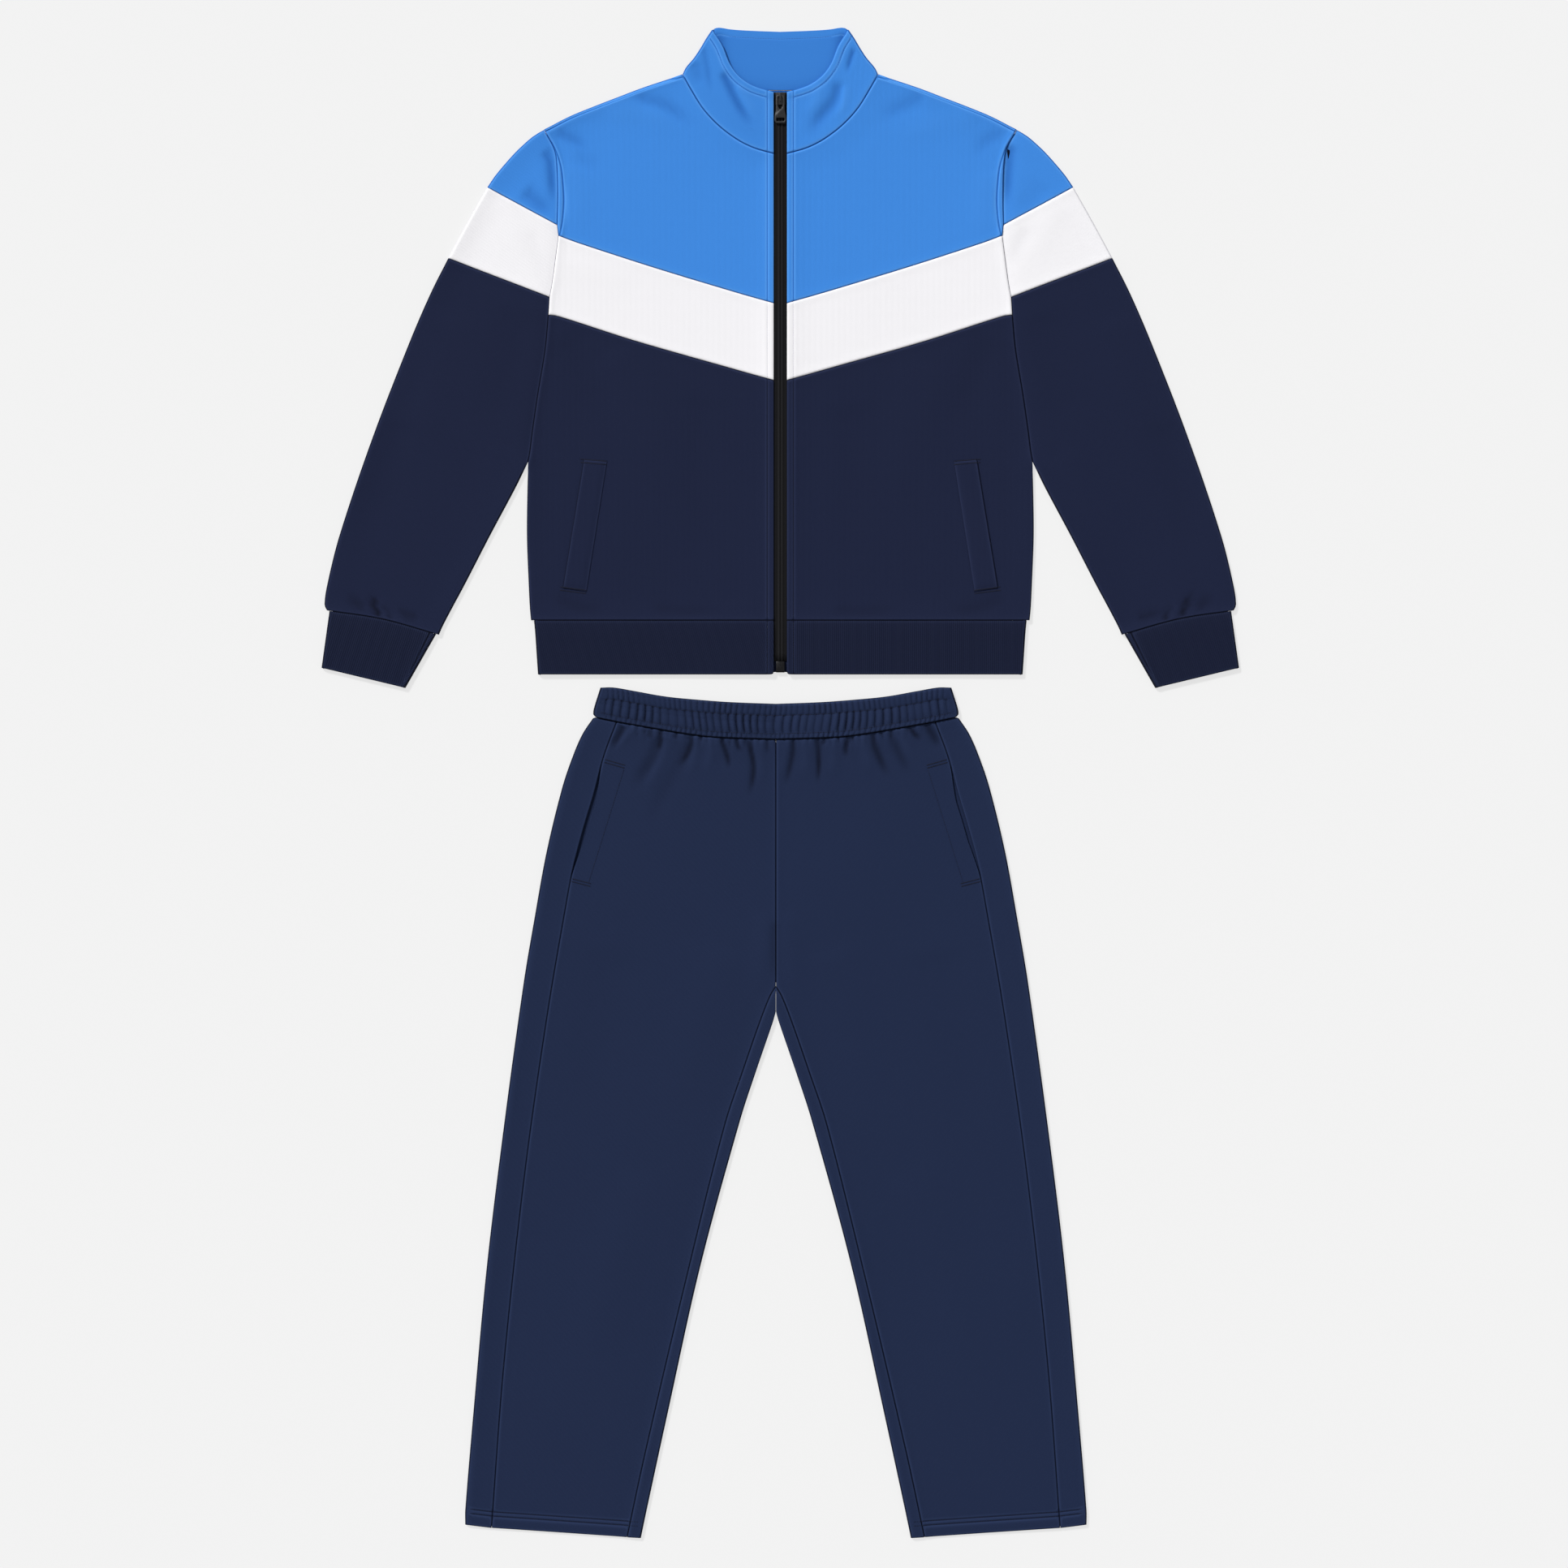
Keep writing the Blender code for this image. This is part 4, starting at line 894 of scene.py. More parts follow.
# %% Jacket folds
# Rows: a path in the jacket's own millimetres, the width, and the rise (a ridge) or fall (a trough).
JACKET_STROKES = [
    ([(-172, 676), (-140, 668), (-112, 652), (-96, 640)], 6.5, -1.3),
    ([(-205, 655), (-150, 655), (-112, 632)], 12.0, 0.8),
    ([(-264, 636), (-250, 630), (-236, 623), (-222, 612)], 6.0, -1.2),
    ([(-240, 606), (-226, 600), (-205, 597)], 9.0, -0.7),
    ([(-246, 600), (-238, 560), (-240, 500)], 12.0, 0.7),
    ([(168, 676), (140, 664), (112, 650)], 7.0, -1.1),
    ([(232, 648), (180, 645), (128, 624)], 12.0, 0.7),
    ([(262, 634), (244, 626), (226, 606)], 7.0, -1.0),
    ([(242, 590), (236, 548), (238, 498)], 12.0, 0.6),
    ([(-250, 400), (-225, 350), (-215, 280)], 22.0, -1.0),
    ([(-200, 380), (-160, 300), (-140, 200)], 30.0, 0.9),
    ([(-90, 330), (-95, 240), (-80, 120)], 28.0, -0.8),
    ([(250, 395), (222, 340), (206, 270)], 20.0, -0.9),
    ([(180, 370), (150, 280), (150, 180)], 30.0, 0.9),
    ([(80, 320), (90, 220), (70, 110)], 28.0, -0.8),
    ([(-266, 480), (-200, 470), (-150, 450)], 16.0, 0.4),
    ([(-262, 92), (-240, 80), (-200, 74)], 7.0, -0.7),
    ([(262, 92), (236, 79), (190, 74)], 7.0, -0.7),
    ([(-150, 78), (-110, 74), (-60, 76)], 6.0, -0.5),
    ([(60, 76), (104, 73), (150, 79)], 6.0, -0.5),
]


# %% Jacket fronts
ZIP_LINE = np.array([(ZIP_EDGE_X, 0.0), (ZIP_EDGE_X, 700.0)])
ZIP_STITCHING = ZIP_LINE + (7.7, 0.0)


def jacket_fronts(side, word):
    across = {"spans": 40, "start": NEAR_ZIP, "end": NEAR}
    hem = run([(ZIP_EDGE_X, HEM_SEAM_Y), BODY_SIDE[0]], **across)
    band_seam, yoke_seam = run(BAND_SEAM, **across), run(YOKE_SEAM, **across)
    zip_side = [(ZIP_LINE, ZIP_SIDE), (ZIP_STITCHING, STITCHED)]

    side_spans, arm_spans = 26, 24
    outer = joined(run(BODY_SIDE, side_spans, NEAR), run(ARMHOLE_TO_BODY_BAND, arm_spans, (), NEAR))
    edge = run([(ZIP_EDGE_X, HEM_SEAM_Y), (ZIP_EDGE_X, BAND_AT_ZIP)], side_spans + arm_spans, NEAR, NEAR)
    plan = mapped(*drawn_in(hem, band_seam, edge, outer))
    seams = [*zip_side, (hem, OVER), (band_seam, SEAM), (smooth(ARMHOLE_TO_BODY_BAND), OVER)]
    layer = lay(plan, "jacket", seams, side, JACKET_STROKES)
    last = len(NEAR) + side_spans
    rows = [rolled(row, float(ease((last - j) / 3))) for j, row in enumerate(layer)]
    lower = skin(f"front_lower_{word}", [rows], CLOTH, "navy", JACKET_AT, side)

    outer = joined(run(ARMHOLE_TO_SLEEVE_BAND, 4, NEAR), run(ARMHOLE_TO_BODY_YOKE, 12, (), NEAR))
    edge = run([(ZIP_EDGE_X, BAND_AT_ZIP), (ZIP_EDGE_X, YOKE_AT_ZIP)], 16, NEAR, NEAR)
    plan = mapped(*drawn_in(band_seam, yoke_seam, edge, outer))
    seams = [*zip_side, (band_seam, SEAM), (yoke_seam, SEAM), (outer, OVER)]
    rows = lay(plan, "jacket", seams, side, JACKET_STROKES)
    band = skin(f"front_band_{word}", [rows], CLOTH, "white", JACKET_AT, side)

    neck_spans = 18
    top = joined(run(NECK_SEAM, neck_spans, NEAR_ZIP), run(SHOULDER_LINE, 22, (), NEAR_ARM))
    outer = joined(run(ARMHOLE_TO_SLEEVE_CAP, 3, NEAR), run(ARMHOLE_TO_SHOULDER, 21, (), NEAR_SHOULDER))
    edge = run([(ZIP_EDGE_X, YOKE_AT_ZIP), (ZIP_EDGE_X, NECK_AT_ZIP)], 24, NEAR, NEAR_SHOULDER)
    foot = run(YOKE_SEAM, 40, NEAR_ZIP, NEAR_ARM)
    plan = mapped(*drawn_in(foot, top, edge, outer))
    neck, shoulder = run(NECK_SEAM, 24), run(SHOULDER_LINE, 24)
    seams = [*zip_side, (yoke_seam, SEAM), (neck, SEAM), (outer, OVER)]
    seams += [(smooth(ARMHOLE_PIPING), GROOVE), (moved(shoulder, -SHOULDER_LINE_IN), GROOVE)]
    layer = lay(plan, "jacket", seams, side, JACKET_STROKES).transpose(1, 0, 2)
    first = len(NEAR_ZIP) + neck_spans
    columns = [rolled(column, float(ease((i - first) / 3))) for i, column in enumerate(layer)]
    yoke = skin(f"front_yoke_{word}", [np.array(columns).transpose(1, 0, 2)], CLOTH, "blue", JACKET_AT, side)
    return lower, band, yoke


FRONTS = {word: jacket_fronts(side, word) for side, word in SIDES}

# %% Front cuts
FRONT_CUTS = (
    ("lower", (0.30, 0.37), "navy_knit"),
    ("band", (0.27, 0.18), "white_knit"),
    ("yoke", (0.28, 0.28), "blue_knit"),
)
for word, pieces in FRONTS.items():
    for piece, (part, size, slot) in zip(pieces, FRONT_CUTS):
        declare(f"jacket_front_{part}_{word}")

# %% [markdown]
# ## Jacket back
# The back lies flat on the floor under the fronts, with the same three colours.
# Only the part behind the open collar shows from above, but the whole back shows from below.

# %% Jacket back
def jacket_back(word, bottom, outer, top, finish):
    b, t, r = moved(bottom, HALF_GAP), moved(top, -HALF_GAP), moved(outer, HALF_GAP)
    b[-1] = r[0] = crossing(b[-1], b[-2], r[0], r[1])
    t[-1] = r[-1] = crossing(t[-1], t[-2], r[-1], r[-2])
    b[0, 0] = t[0, 0] = 0.0
    centre = np.linspace(b[0], t[0], len(outer))
    plan = mapped(b, t, centre, r)
    rows = np.concatenate([mirrored(plan[:, :0:-1]), plan], axis=1)
    one_side = np.stack([np.abs(rows[..., 0]), rows[..., 1]], axis=-1)
    _, line_shading_mask = profile_rise(one_side, [(b, SEAM), (t, SEAM), (r, SEAM)])
    grid = marked(rows, np.full(rows.shape[:-1], CLOTH), line_shading_mask)
    return skin(f"back_{word}", [grid], CLOTH, finish, JACKET_AT)


def back_seam(points):
    line = smooth(points)
    return np.vstack([[(0.0, line[0, 1] - BACK_SEAM_DROP)], line])


def back_run(points, spans):
    return at_marks(points, np.linspace(0.0, lengths(points)[-1], spans + 1))


BACKS = {
    "lower": jacket_back(
        "lower",
        run([(0.0, HEM_SEAM_Y), BODY_SIDE[0]], 36),
        joined(run(BODY_SIDE, 18), run(ARMHOLE_TO_BODY_BAND, 18)),
        back_run(back_seam(BAND_SEAM), 36),
        "navy",
    ),
    "band": jacket_back(
        "band",
        back_run(back_seam(BAND_SEAM), 36),
        joined(run(ARMHOLE_TO_SLEEVE_BAND, 3), run(ARMHOLE_TO_BODY_YOKE, 9)),
        back_run(back_seam(YOKE_SEAM), 36),
        "white",
    ),
    "yoke": jacket_back(
        "yoke",
        back_run(back_seam(YOKE_SEAM), 36),
        joined(run(ARMHOLE_TO_SLEEVE_CAP, 2), run(ARMHOLE_TO_SHOULDER, 14)),
        joined(run(BACK_NECK_SEAM, 16), run(SHOULDER_LINE, 20)),
        "blue",
    ),
}
BACK_CUTS = (
    ("lower", (0.60, 0.37), "navy_knit"),
    ("band", (0.55, 0.18), "white_knit"),
    ("yoke", (0.56, 0.28), "blue_knit"),
)
for part, size, slot in BACK_CUTS:
    declare(f"jacket_back_{part}")

# %% [markdown]
# ## Sleeves and cuffs
# A sleeve is a tube pressed flat, so each of its three pieces folds at the outer edge and runs back below.
# At the armhole it tucks under the body's edge. Above the cuff it is a little fuller than the cuff.

# %% Sleeve folds
SLEEVE_STROKES = [
    ([(-276, 616), (-270, 600), (-267, 575), (-265, 545)], 5.0, -1.5),
    ([(-300, 566), (-284, 552), (-264, 534)], 8.0, -1.9),
    ([(-325, 560), (-310, 520), (-300, 480)], 16.0, 0.6),
    ([(270, 622), (267, 592), (265, 562), (263, 538)], 6.5, -2.0),
    ([(308, 575), (292, 548), (277, 532)], 13.0, -0.6),
    ([(330, 555), (312, 520), (300, 476)], 16.0, 0.6),
    ([(-292, 520), (-280, 480), (-275, 450)], 9.0, -0.6),
    ([(292, 520), (278, 500), (272, 470)], 8.0, -0.8),
    ([(-300, 430), (-320, 350), (-345, 270)], 26.0, -1.0),
    ([(-380, 430), (-410, 330), (-440, 220)], 26.0, 1.0),
    ([(-320, 270), (-350, 200), (-385, 130)], 18.0, 0.7),
    ([(-440, 300), (-470, 200), (-490, 120)], 22.0, -0.8),
    ([(305, 425), (325, 345), (350, 262)], 26.0, -0.9),
    ([(385, 425), (412, 325), (445, 215)], 26.0, 1.0),
    ([(325, 262), (352, 196), (388, 128)], 18.0, 0.7),
    ([(445, 300), (472, 205), (492, 118)], 22.0, -0.8),
    ([(-468, 66), (-473, 78), (-479, 96)], 3.4, -1.9),
    ([(-487, 76), (-496, 84), (-507, 94)], 6.0, -1.1),
    ([(-465, 65), (-466, 74), (-468, 86)], 3.4, 0.9),
    ([(-459, 64), (-461, 74), (-463, 82)], 3.0, -1.2),
    ([(-424, 66), (-440, 70), (-458, 77)], 5.0, -1.0),
    ([(-446, 61), (-448, 70), (-452, 80)], 4.0, 0.7),
    ([(467, 66), (473, 80), (482, 98)], 3.4, -1.6),
    ([(487, 76), (496, 85), (505, 95)], 6.0, -1.0),
    ([(459, 64), (460, 74), (463, 86)], 3.4, 0.8),
    ([(450, 62), (452, 72), (455, 84)], 3.0, -1.2),
    ([(416, 66), (432, 69), (448, 76)], 5.0, -0.9),
]
SLEEVE_GRAIN = math.radians(16.8)
ARMHOLE_PARTS = (
    ARMHOLE_TO_BODY_BAND,
    ARMHOLE_TO_SLEEVE_BAND,
    ARMHOLE_TO_BODY_YOKE,
    ARMHOLE_TO_SLEEVE_CAP,
    ARMHOLE_TO_SHOULDER,
)
ARMHOLE = joined(*(smooth(part) for part in ARMHOLE_PARTS))
print("armhole:", round(lengths(ARMHOLE)[-1]), "mm")


# %% Sleeves
def sleeve_piece(name, plan, seams, follow, finish, side):
    rows = []
    for row, turn in zip(lay(plan, "jacket", seams, side, SLEEVE_STROKES), follow):
        upper = rolled(row[::-1], turn)[::-1]
        rows.append(folded(upper, row[-2::-1, :2]))
    return skin(name, [rows], CLOTH, finish, JACKET_AT, side, SLEEVE_GRAIN)


def jacket_sleeve(side, word):
    across = {"spans": 18, "start": NEAR, "end": NEAR_FOLD}
    cap_seam = run([ARMHOLE_TO_SHOULDER[0], CAP_OUTER[0]], **across)
    band_seam = run([ARMHOLE_TO_BODY_YOKE[0], BAND_OUTER[0]], **across)
    end_seam = run(CUFF_SEAM, **across)

    top = run(ARMHOLE_TO_SHOULDER, across["spans"], NEAR, NEAR_FOLD, (0.5, 1.0))
    left = run(ARMHOLE_TO_SHOULDER, 10, NEAR, NEAR, (0.0, 0.5))
    plan = mapped(*drawn_in(cap_seam, top, left, run(CAP_OUTER, 10, NEAR, NEAR)))
    seams = [(ARMHOLE, UNDER), (cap_seam, SEAM)]
    cap = sleeve_piece(f"sleeve_cap_cloth_{word}", plan, seams, [0.0] * len(plan), "blue", side)

    left = joined(run(ARMHOLE_TO_BODY_YOKE, 10, NEAR), run(ARMHOLE_TO_SLEEVE_CAP, 3, (), NEAR))
    plan = mapped(*drawn_in(band_seam, cap_seam, left, run(BAND_OUTER, 13, NEAR, NEAR)))
    seams = [(ARMHOLE, UNDER), (cap_seam, SEAM), (band_seam, SEAM)]
    band = sleeve_piece(f"sleeve_band_cloth_{word}", plan, seams, [0.0] * len(plan), "white", side)

    inner_spans = 38
    left = joined(
        run(SLEEVE_INNER, inner_spans, NEAR),
        run(ARMHOLE_TO_BODY_BAND, 24),
        run(ARMHOLE_TO_SLEEVE_BAND, 4, (), NEAR),
    )
    right = run(LOWER_OUTER, inner_spans + 28, NEAR, NEAR)
    plan = mapped(*drawn_in(end_seam, run([left[-1], right[-1]], **across), left, right))
    last = len(NEAR) + inner_spans
    follow = [float(ease((last - j) / 3)) for j in range(len(plan))]
    seams = [(ARMHOLE, UNDER), (band_seam, SEAM), (end_seam, OVER)]
    lower = sleeve_piece(f"sleeve_lower_cloth_{word}", plan, seams, follow, "navy", side)
    return cap, band, lower


SLEEVES = {word: jacket_sleeve(side, word) for side, word in SIDES}
SLEEVE_CUTS = (
    ("cap", (0.20, 0.15), "blue_knit"),
    ("band", (0.26, 0.16), "white_knit"),
    ("lower", (0.32, 0.46), "navy_knit"),
)
for word, pieces in SLEEVES.items():
    for piece, (part, size, slot) in zip(pieces, SLEEVE_CUTS):
        declare(f"sleeve_{part}_{word}")

# %% Cuffs
def across_cuff(line):
    """Points across the cuff, close together along its side seam, which is near the inner fold."""
    wide = lengths(line)[-1]
    even = np.linspace(NEAR_CUFF[-1], wide - NEAR_FOLD[-1], 19)
    return at_marks(line, np.r_[0.0, NEAR_CUFF[:-1], even, wide - NEAR_FOLD[0], wide])


def cuff(side, word):
    """A loop of doubled knit, pressed flat."""
    seam = smooth(CUFF_SEAM)
    seam = at_marks(seam, np.linspace(CUFF_STEP, lengths(seam)[-1] - CUFF_STEP, 41))
    seam, end = (across_cuff(line) for line in (seam, np.array([CUFF_INNER_END, CUFF_OUTER_END])))
    left, right = (run([end[k], seam[k]], 12, NEAR, NEAR) for k in (0, -1))
    plan = mapped(*drawn_in(end, seam, left, right))
    rise, line_shading_mask = profile_rise(plan, [(end, ROUND), (seam, UNDER), (np.array(CUFF_SIDE_SEAM), GROOVE)])
    soft = 0.3 * waves(plan * (side, 1.0))
    layer = marked(plan, BAND_HEIGHT + rise + soft, line_shading_mask)
    rows = []
    for upper in layer:
        lower = flat(upper[:, :2])
        right_turn = half_turn(upper[-1], upper[-2], upper[-2])
        left_turn = half_turn(upper[0], upper[1], upper[1])
        rows.append(np.vstack([upper[1:-1], right_turn, lower[-2:0:-1], left_turn[::-1], upper[1:2]]))
    return skin(f"cuff_cloth_{word}", [rows], BAND_WALL, "rib", JACKET_AT, side, SLEEVE_GRAIN)


for side, word in SIDES:
    loop = cuff(side, word)
    declare(f"cuff_{word}")

# %% [markdown]
# ## Hem band
# The band is knitted in fine ribs and doubled. It runs from the zip round the back to the zip again.
# The body hangs over its upper edge. Its lower corners beside the zip are rounded.

# %% Hem band
def hem_band():
    lower_edge = [(ZIP_EDGE_X, 3.2), (8.7, 0.9), (11.6, 0.1), (30.0, 0.0), (150.0, 0.0), HEM_BAND_SIDE[0]]
    low = run(lower_edge, 40, NEAR_ZIP, NEAR_FOLD)
    high = run([(ZIP_EDGE_X, HEM_SEAM_Y), HEM_BAND_SIDE[-1]], 40, NEAR_ZIP, NEAR_FOLD)
    left = run([low[0], high[0]], 10, NEAR, NEAR)
    plan = mapped(*drawn_in(low, high, left, run(HEM_BAND_SIDE, 10, NEAR, NEAR)))
    seams = [(ZIP_LINE, ZIP_SIDE), (ZIP_STITCHING, STITCHED), (low, ROUND), (high, UNDER)]
    rise, line_shading_mask = profile_rise(plan, seams)
    layer = marked(plan, BAND_HEIGHT + rise + 0.6 * waves(plan), line_shading_mask)
    rows = []
    for row in layer:
        back = np.vstack([row[-2:0:-1, :2], [(0.0, row[0, 1])]])
        rows.append(both_halves(folded(row, back)))
    return skin("hem_band_cloth", [rows], BAND_WALL, "rib", JACKET_AT)


band = hem_band()
declare("hem_band")

# %% [markdown]
# ## Collar
# The stand collar is doubled cloth that folds at its sides, with its front edges at the zip.
# Its front has a long slanting dent on each side of the zip, where the stand leans over.

# %% Collar
COLLAR_STROKES = [
    ([(-68, 706), (-55, 678), (-42, 655), (-28, 634)], 5.0, -1.7),
    ([(-50, 690), (-38, 668), (-24, 650)], 6.0, 0.8),
    ([(-90, 734), (-85, 708), (-81, 676)], 3.5, -0.6),
    ([(-99, 716), (-97, 704), (-92, 686)], 7.0, -0.9),
    ([(70, 694), (63, 671), (47, 651), (31, 627)], 7.0, -2.0),
    ([(48, 690), (42, 670), (30, 650)], 7.0, 0.8),
    ([(76, 690), (74, 666), (64, 646)], 5.0, 0.8),
    ([(86, 732), (82, 720), (77, 702)], 2.6, -1.3),
]
BACK_STITCHING_IN = 8.5
MOUTH_STITCHING_IN = 8.4
MOUTH_RIM = (
    (0.0, 0.4, 1.0, 1.7, 2.6, 4.5, 6.6, 8.4, 10.2),
    (-1.1, -0.3, 0.15, 0.4, 0.55, 0.55, 0.4, 0.1, 0.0),
    1.0,
)
INSIDE_SHADE = 0.42


def inside_of_collar(back, top_line):
    """The stand's back: stitching dented in and painted dark, painted shade all over, deepest in the corners
    and under the front.
    """
    from_top, along = nearest(back, top_line)
    dented = np.exp(-(((from_top - BACK_STITCHING_IN) / 0.9) ** 2))
    corner = np.exp(-(((np.abs(back[..., 0]) - 74.0) / 9.0) ** 2)) * ease((from_top - 2.0) / 8.0)
    below = ease((from_top - 50.0) / 30.0)
    shade = INSIDE_SHADE + 0.9 * corner + 0.5 * below - 0.3 * (from_top < BACK_STITCHING_IN)
    return marked(back, 0.35 * (1 - dented), 0.86 * dented, shade)


def collar():
    front_edge = run([NECK_SEAM[0], COLLAR_MOUTH[0]], 14, NEAR, NEAR_MOUTH)
    side = run(COLLAR_SIDE, 14, NEAR, NEAR_MOUTH)
    across = {"spans": 28, "start": NEAR_ZIP, "end": NEAR_FOLD}
    foot, mouth = run(NECK_SEAM, **across), run(COLLAR_MOUTH, **across)
    front = mapped(*drawn_in(foot, mouth, front_edge, side))
    back_foot, back_top = run(BACK_NECK_SEAM, **across), run(COLLAR_BACK_TOP, **across)
    middle = run([back_foot[0], back_top[0]], 14, NEAR, NEAR_MOUTH)
    back = mapped(*drawn_in(back_foot, back_top, middle, side))
    back[:, 0, 0] = 0.0
    seams = [(ZIP_LINE, ZIP_SIDE), (ZIP_STITCHING, STITCHED), (foot, SEAM), (mouth, MOUTH_RIM)]
    seams.append((moved(mouth, -MOUTH_STITCHING_IN)[NEAR_ZIP.index(7.7):], STITCHED))
    rise, line_shading_mask = profile_rise(front, seams)
    share = np.linspace(0.0, 1.0, len(front))[:, None]
    base = COLLAR_FOOT_HEIGHT + (COLLAR_MOUTH_HEIGHT - COLLAR_FOOT_HEIGHT) * ease(share)
    inside = inside_of_collar(back, back_top)
    halves = []
    for side_sign in (1, -1):
        dents, shade = strokes_rise(front * (side_sign, 1.0), COLLAR_STROKES)
        layer = marked(front, base + rise + dents, line_shading_mask, shade)
        turned = [
            np.vstack([upper[:-1], half_turn(upper[-1], upper[-2], lower[-2]), lower[-2::-1]])
            for upper, lower in zip(layer, inside)
        ]
        halves.append(np.array(turned))
    rows = np.concatenate([halves[0], mirrored(halves[1])[:, -2::-1]], axis=1)
    return skin("collar_cloth", [rows], COLLAR_WALL, "blue", JACKET_AT)


stand = collar()
declare("collar")

# %% [markdown]
# ## Jacket pocket welts
# Each pocket has a narrow strip sewn flat on the front. Its outer edge is free and is the pocket's mouth.

# %% Welts
SEWN = ((0.0, 1.0, 2.4, 4.5, 8.0), (-1.15, -1.0, -0.6, -0.15, 0.0), 0.87)
BARRED = ((0.0, 1.0, 2.4, 4.5, 8.0), (-1.15, -1.0, -0.6, -0.15, 0.0), 0.95)
FREE = ((0.0, 0.4, 1.0, 2.4, 4.5), (-0.4, -0.1, 0.1, 0.15, 0.0), 1.0)


def welt(side, word):
    mouth, inner = run(WELT_MOUTH, 30, NEAR, NEAR), run(WELT_INNER, 30, NEAR, NEAR)
    low, high = (run([inner[k], mouth[k]], 8, NEAR_WELT, NEAR_WELT) for k in (0, -1))
    plan = mapped(low, high, inner, mouth)
    under = lay(plan, "jacket", [], side, JACKET_STROKES)
    rise, line_shading_mask = profile_rise(plan, [(inner, SEWN), (low, BARRED), (high, BARRED), (mouth, FREE)])
    under[..., 2] += SEAM_GAP + WELT_WALL + np.maximum(rise, -1.2)
    under[..., 3] = line_shading_mask
    return skin(f"welt_cloth_{word}", [under], WELT_WALL, "navy", JACKET_AT, side)


for side, word in SIDES:
    strip = welt(side, word)
    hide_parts(f"jacket_pocket_welt_{word}")

# %% [markdown]
# ## Trouser legs
# The back of each leg wraps round both edges to the seams on its front, and the front lies between them.
# Soft folds run down from the gathered waist, each with its own length, and fade out on the thigh.

# %% Trouser folds
# Rows: a path in the trousers' own millimetres, the width, and the rise or fall.
LEG_STROKES = [
    ([(-177, -44), (-184, -58), (-194, -74)], 4.5, -1.7),
    ([(-163, -43), (-176, -58), (-190, -76)], 4.0, 0.9),
    ([(-150, -45), (-148, -53), (-150, -62)], 2.6, -1.3),
    ([(-134, -47), (-135, -62), (-138, -76)], 2.6, -2.0),
    ([(-134, -56), (-141, -80), (-153, -99), (-168, -120)], 7.0, -1.8),
    ([(-125, -52), (-133, -80), (-145, -106), (-156, -130)], 7.0, 1.1),
    ([(-116, -52), (-119, -62)], 2.4, -1.2),
    ([(-103, -53), (-99, -64), (-105, -80), (-116, -94)], 3.4, -1.8),
    ([(-99, -62), (-112, -90), (-134, -130), (-150, -170)], 9.0, -0.8),
    ([(-93, -54), (-95, -78), (-104, -110)], 6.0, 0.9),
    ([(-89, -53), (-86, -64)], 2.6, -1.6),
    ([(-76, -55), (-76, -76), (-82, -104)], 6.0, 1.0),
    ([(-64, -56), (-60, -70), (-56, -84), (-54, -98)], 2.6, -2.1),
    ([(-49, -58), (-44, -68), (-38, -78)], 2.6, -1.4),
    ([(-34, -58), (-29, -74), (-26, -92), (-28, -112), (-32, -130)], 3.0, -2.1),
    ([(-20, -60), (-18, -84), (-16, -116)], 6.0, 1.0),
    ([(-10, -60), (-10, -80)], 3.0, -0.8),
    ([(10, -60), (9, -84), (7, -110)], 5.0, 0.7),
    ([(21, -58), (20, -76), (16, -94), (11, -118)], 3.4, -1.4),
    ([(33, -60), (35, -82), (33, -110)], 6.0, 1.0),
    ([(48, -57), (50, -73), (50, -96), (49, -116)], 2.6, -2.1),
    ([(59, -57), (54, -69)], 2.4, -1.4),
    ([(66, -57), (67, -80), (67, -110)], 6.5, 1.0),
    ([(88, -55), (82, -70), (83, -84)], 3.0, -1.8),
    ([(100, -56), (105, -78), (112, -104)], 6.0, 1.0),
    ([(111, -51), (116, -69), (124, -88), (134, -108)], 4.2, -1.5),
    ([(121, -48), (123, -58)], 2.4, -1.3),
    ([(134, -48), (140, -67), (149, -86), (159, -106)], 5.0, -1.1),
    ([(142, -46), (151, -66), (164, -86)], 5.0, 0.9),
    ([(154, -43), (163, -55), (172, -63)], 3.0, -1.7),
    ([(174, -40), (183, -54), (193, -72)], 4.5, -1.6),
    ([(0, -270), (-1, -310), (0, -352)], 5.0, -1.0),
    ([(-14, -260), (-16, -310), (-22, -380)], 12.0, 0.8),
    ([(14, -260), (16, -310), (22, -380)], 12.0, 0.8),
    ([(-60, -300), (-90, -400), (-120, -520)], 30.0, 0.9),
    ([(60, -300), (92, -400), (118, -520)], 30.0, 0.9),
    ([(-190, -300), (-210, -420), (-235, -560)], 34.0, -0.9),
    ([(190, -300), (212, -420), (232, -560)], 34.0, -0.9),
    ([(-150, -560), (-200, -700), (-230, -860)], 30.0, 0.8),
    ([(150, -560), (202, -700), (228, -860)], 30.0, 0.8),
]
LEG_GRAIN = math.radians(9.0)
FIRST_ROWS_APART = 59.0
HEM_FOLD = ((0.0, 0.4, 1.0, 1.7, 2.4, 4.5, 13.4, 24.0), (-1.1, -0.5, -0.15, 0.1, 0.25, 0.35, 0.35, 0.0), 1.0)
TOPSTITCH = ((0.0, 0.4, 1.0, 1.7, 2.4, 4.5, 8.0), (-0.75, -0.45, -0.1, 0.12, 0.2, 0.12, 0.0), 0.97)
HEM_STITCHING = (14.2, 19.0)
HEM_ROWS = (0.4, 1.0, 1.7, 2.4, 4.5, 9.0, 13.4, 14.2, 15.0, 16.6, 18.2, 19.0, 19.8, 24.0)


# %% Leg lines
def row_marks():
    """Places between the numbered rows: eight steps to each, and more beside the hem and the waist."""
    count = len(ROW_HEIGHTS["outer"])
    hem = [d / FIRST_ROWS_APART for d in HEM_ROWS]
    even = np.arange(hem[-1], count - 2, 1 / 8)
    top = np.linspace(even[-1] + 1 / 8, count - 1, 12)
    whole = list(range(1, count - 1))
    marks = np.unique(np.round(np.r_[0.0, hem, even, top, whole], 5))
    close = np.r_[False, np.diff(marks) < 0.004]
    return marks[~close]


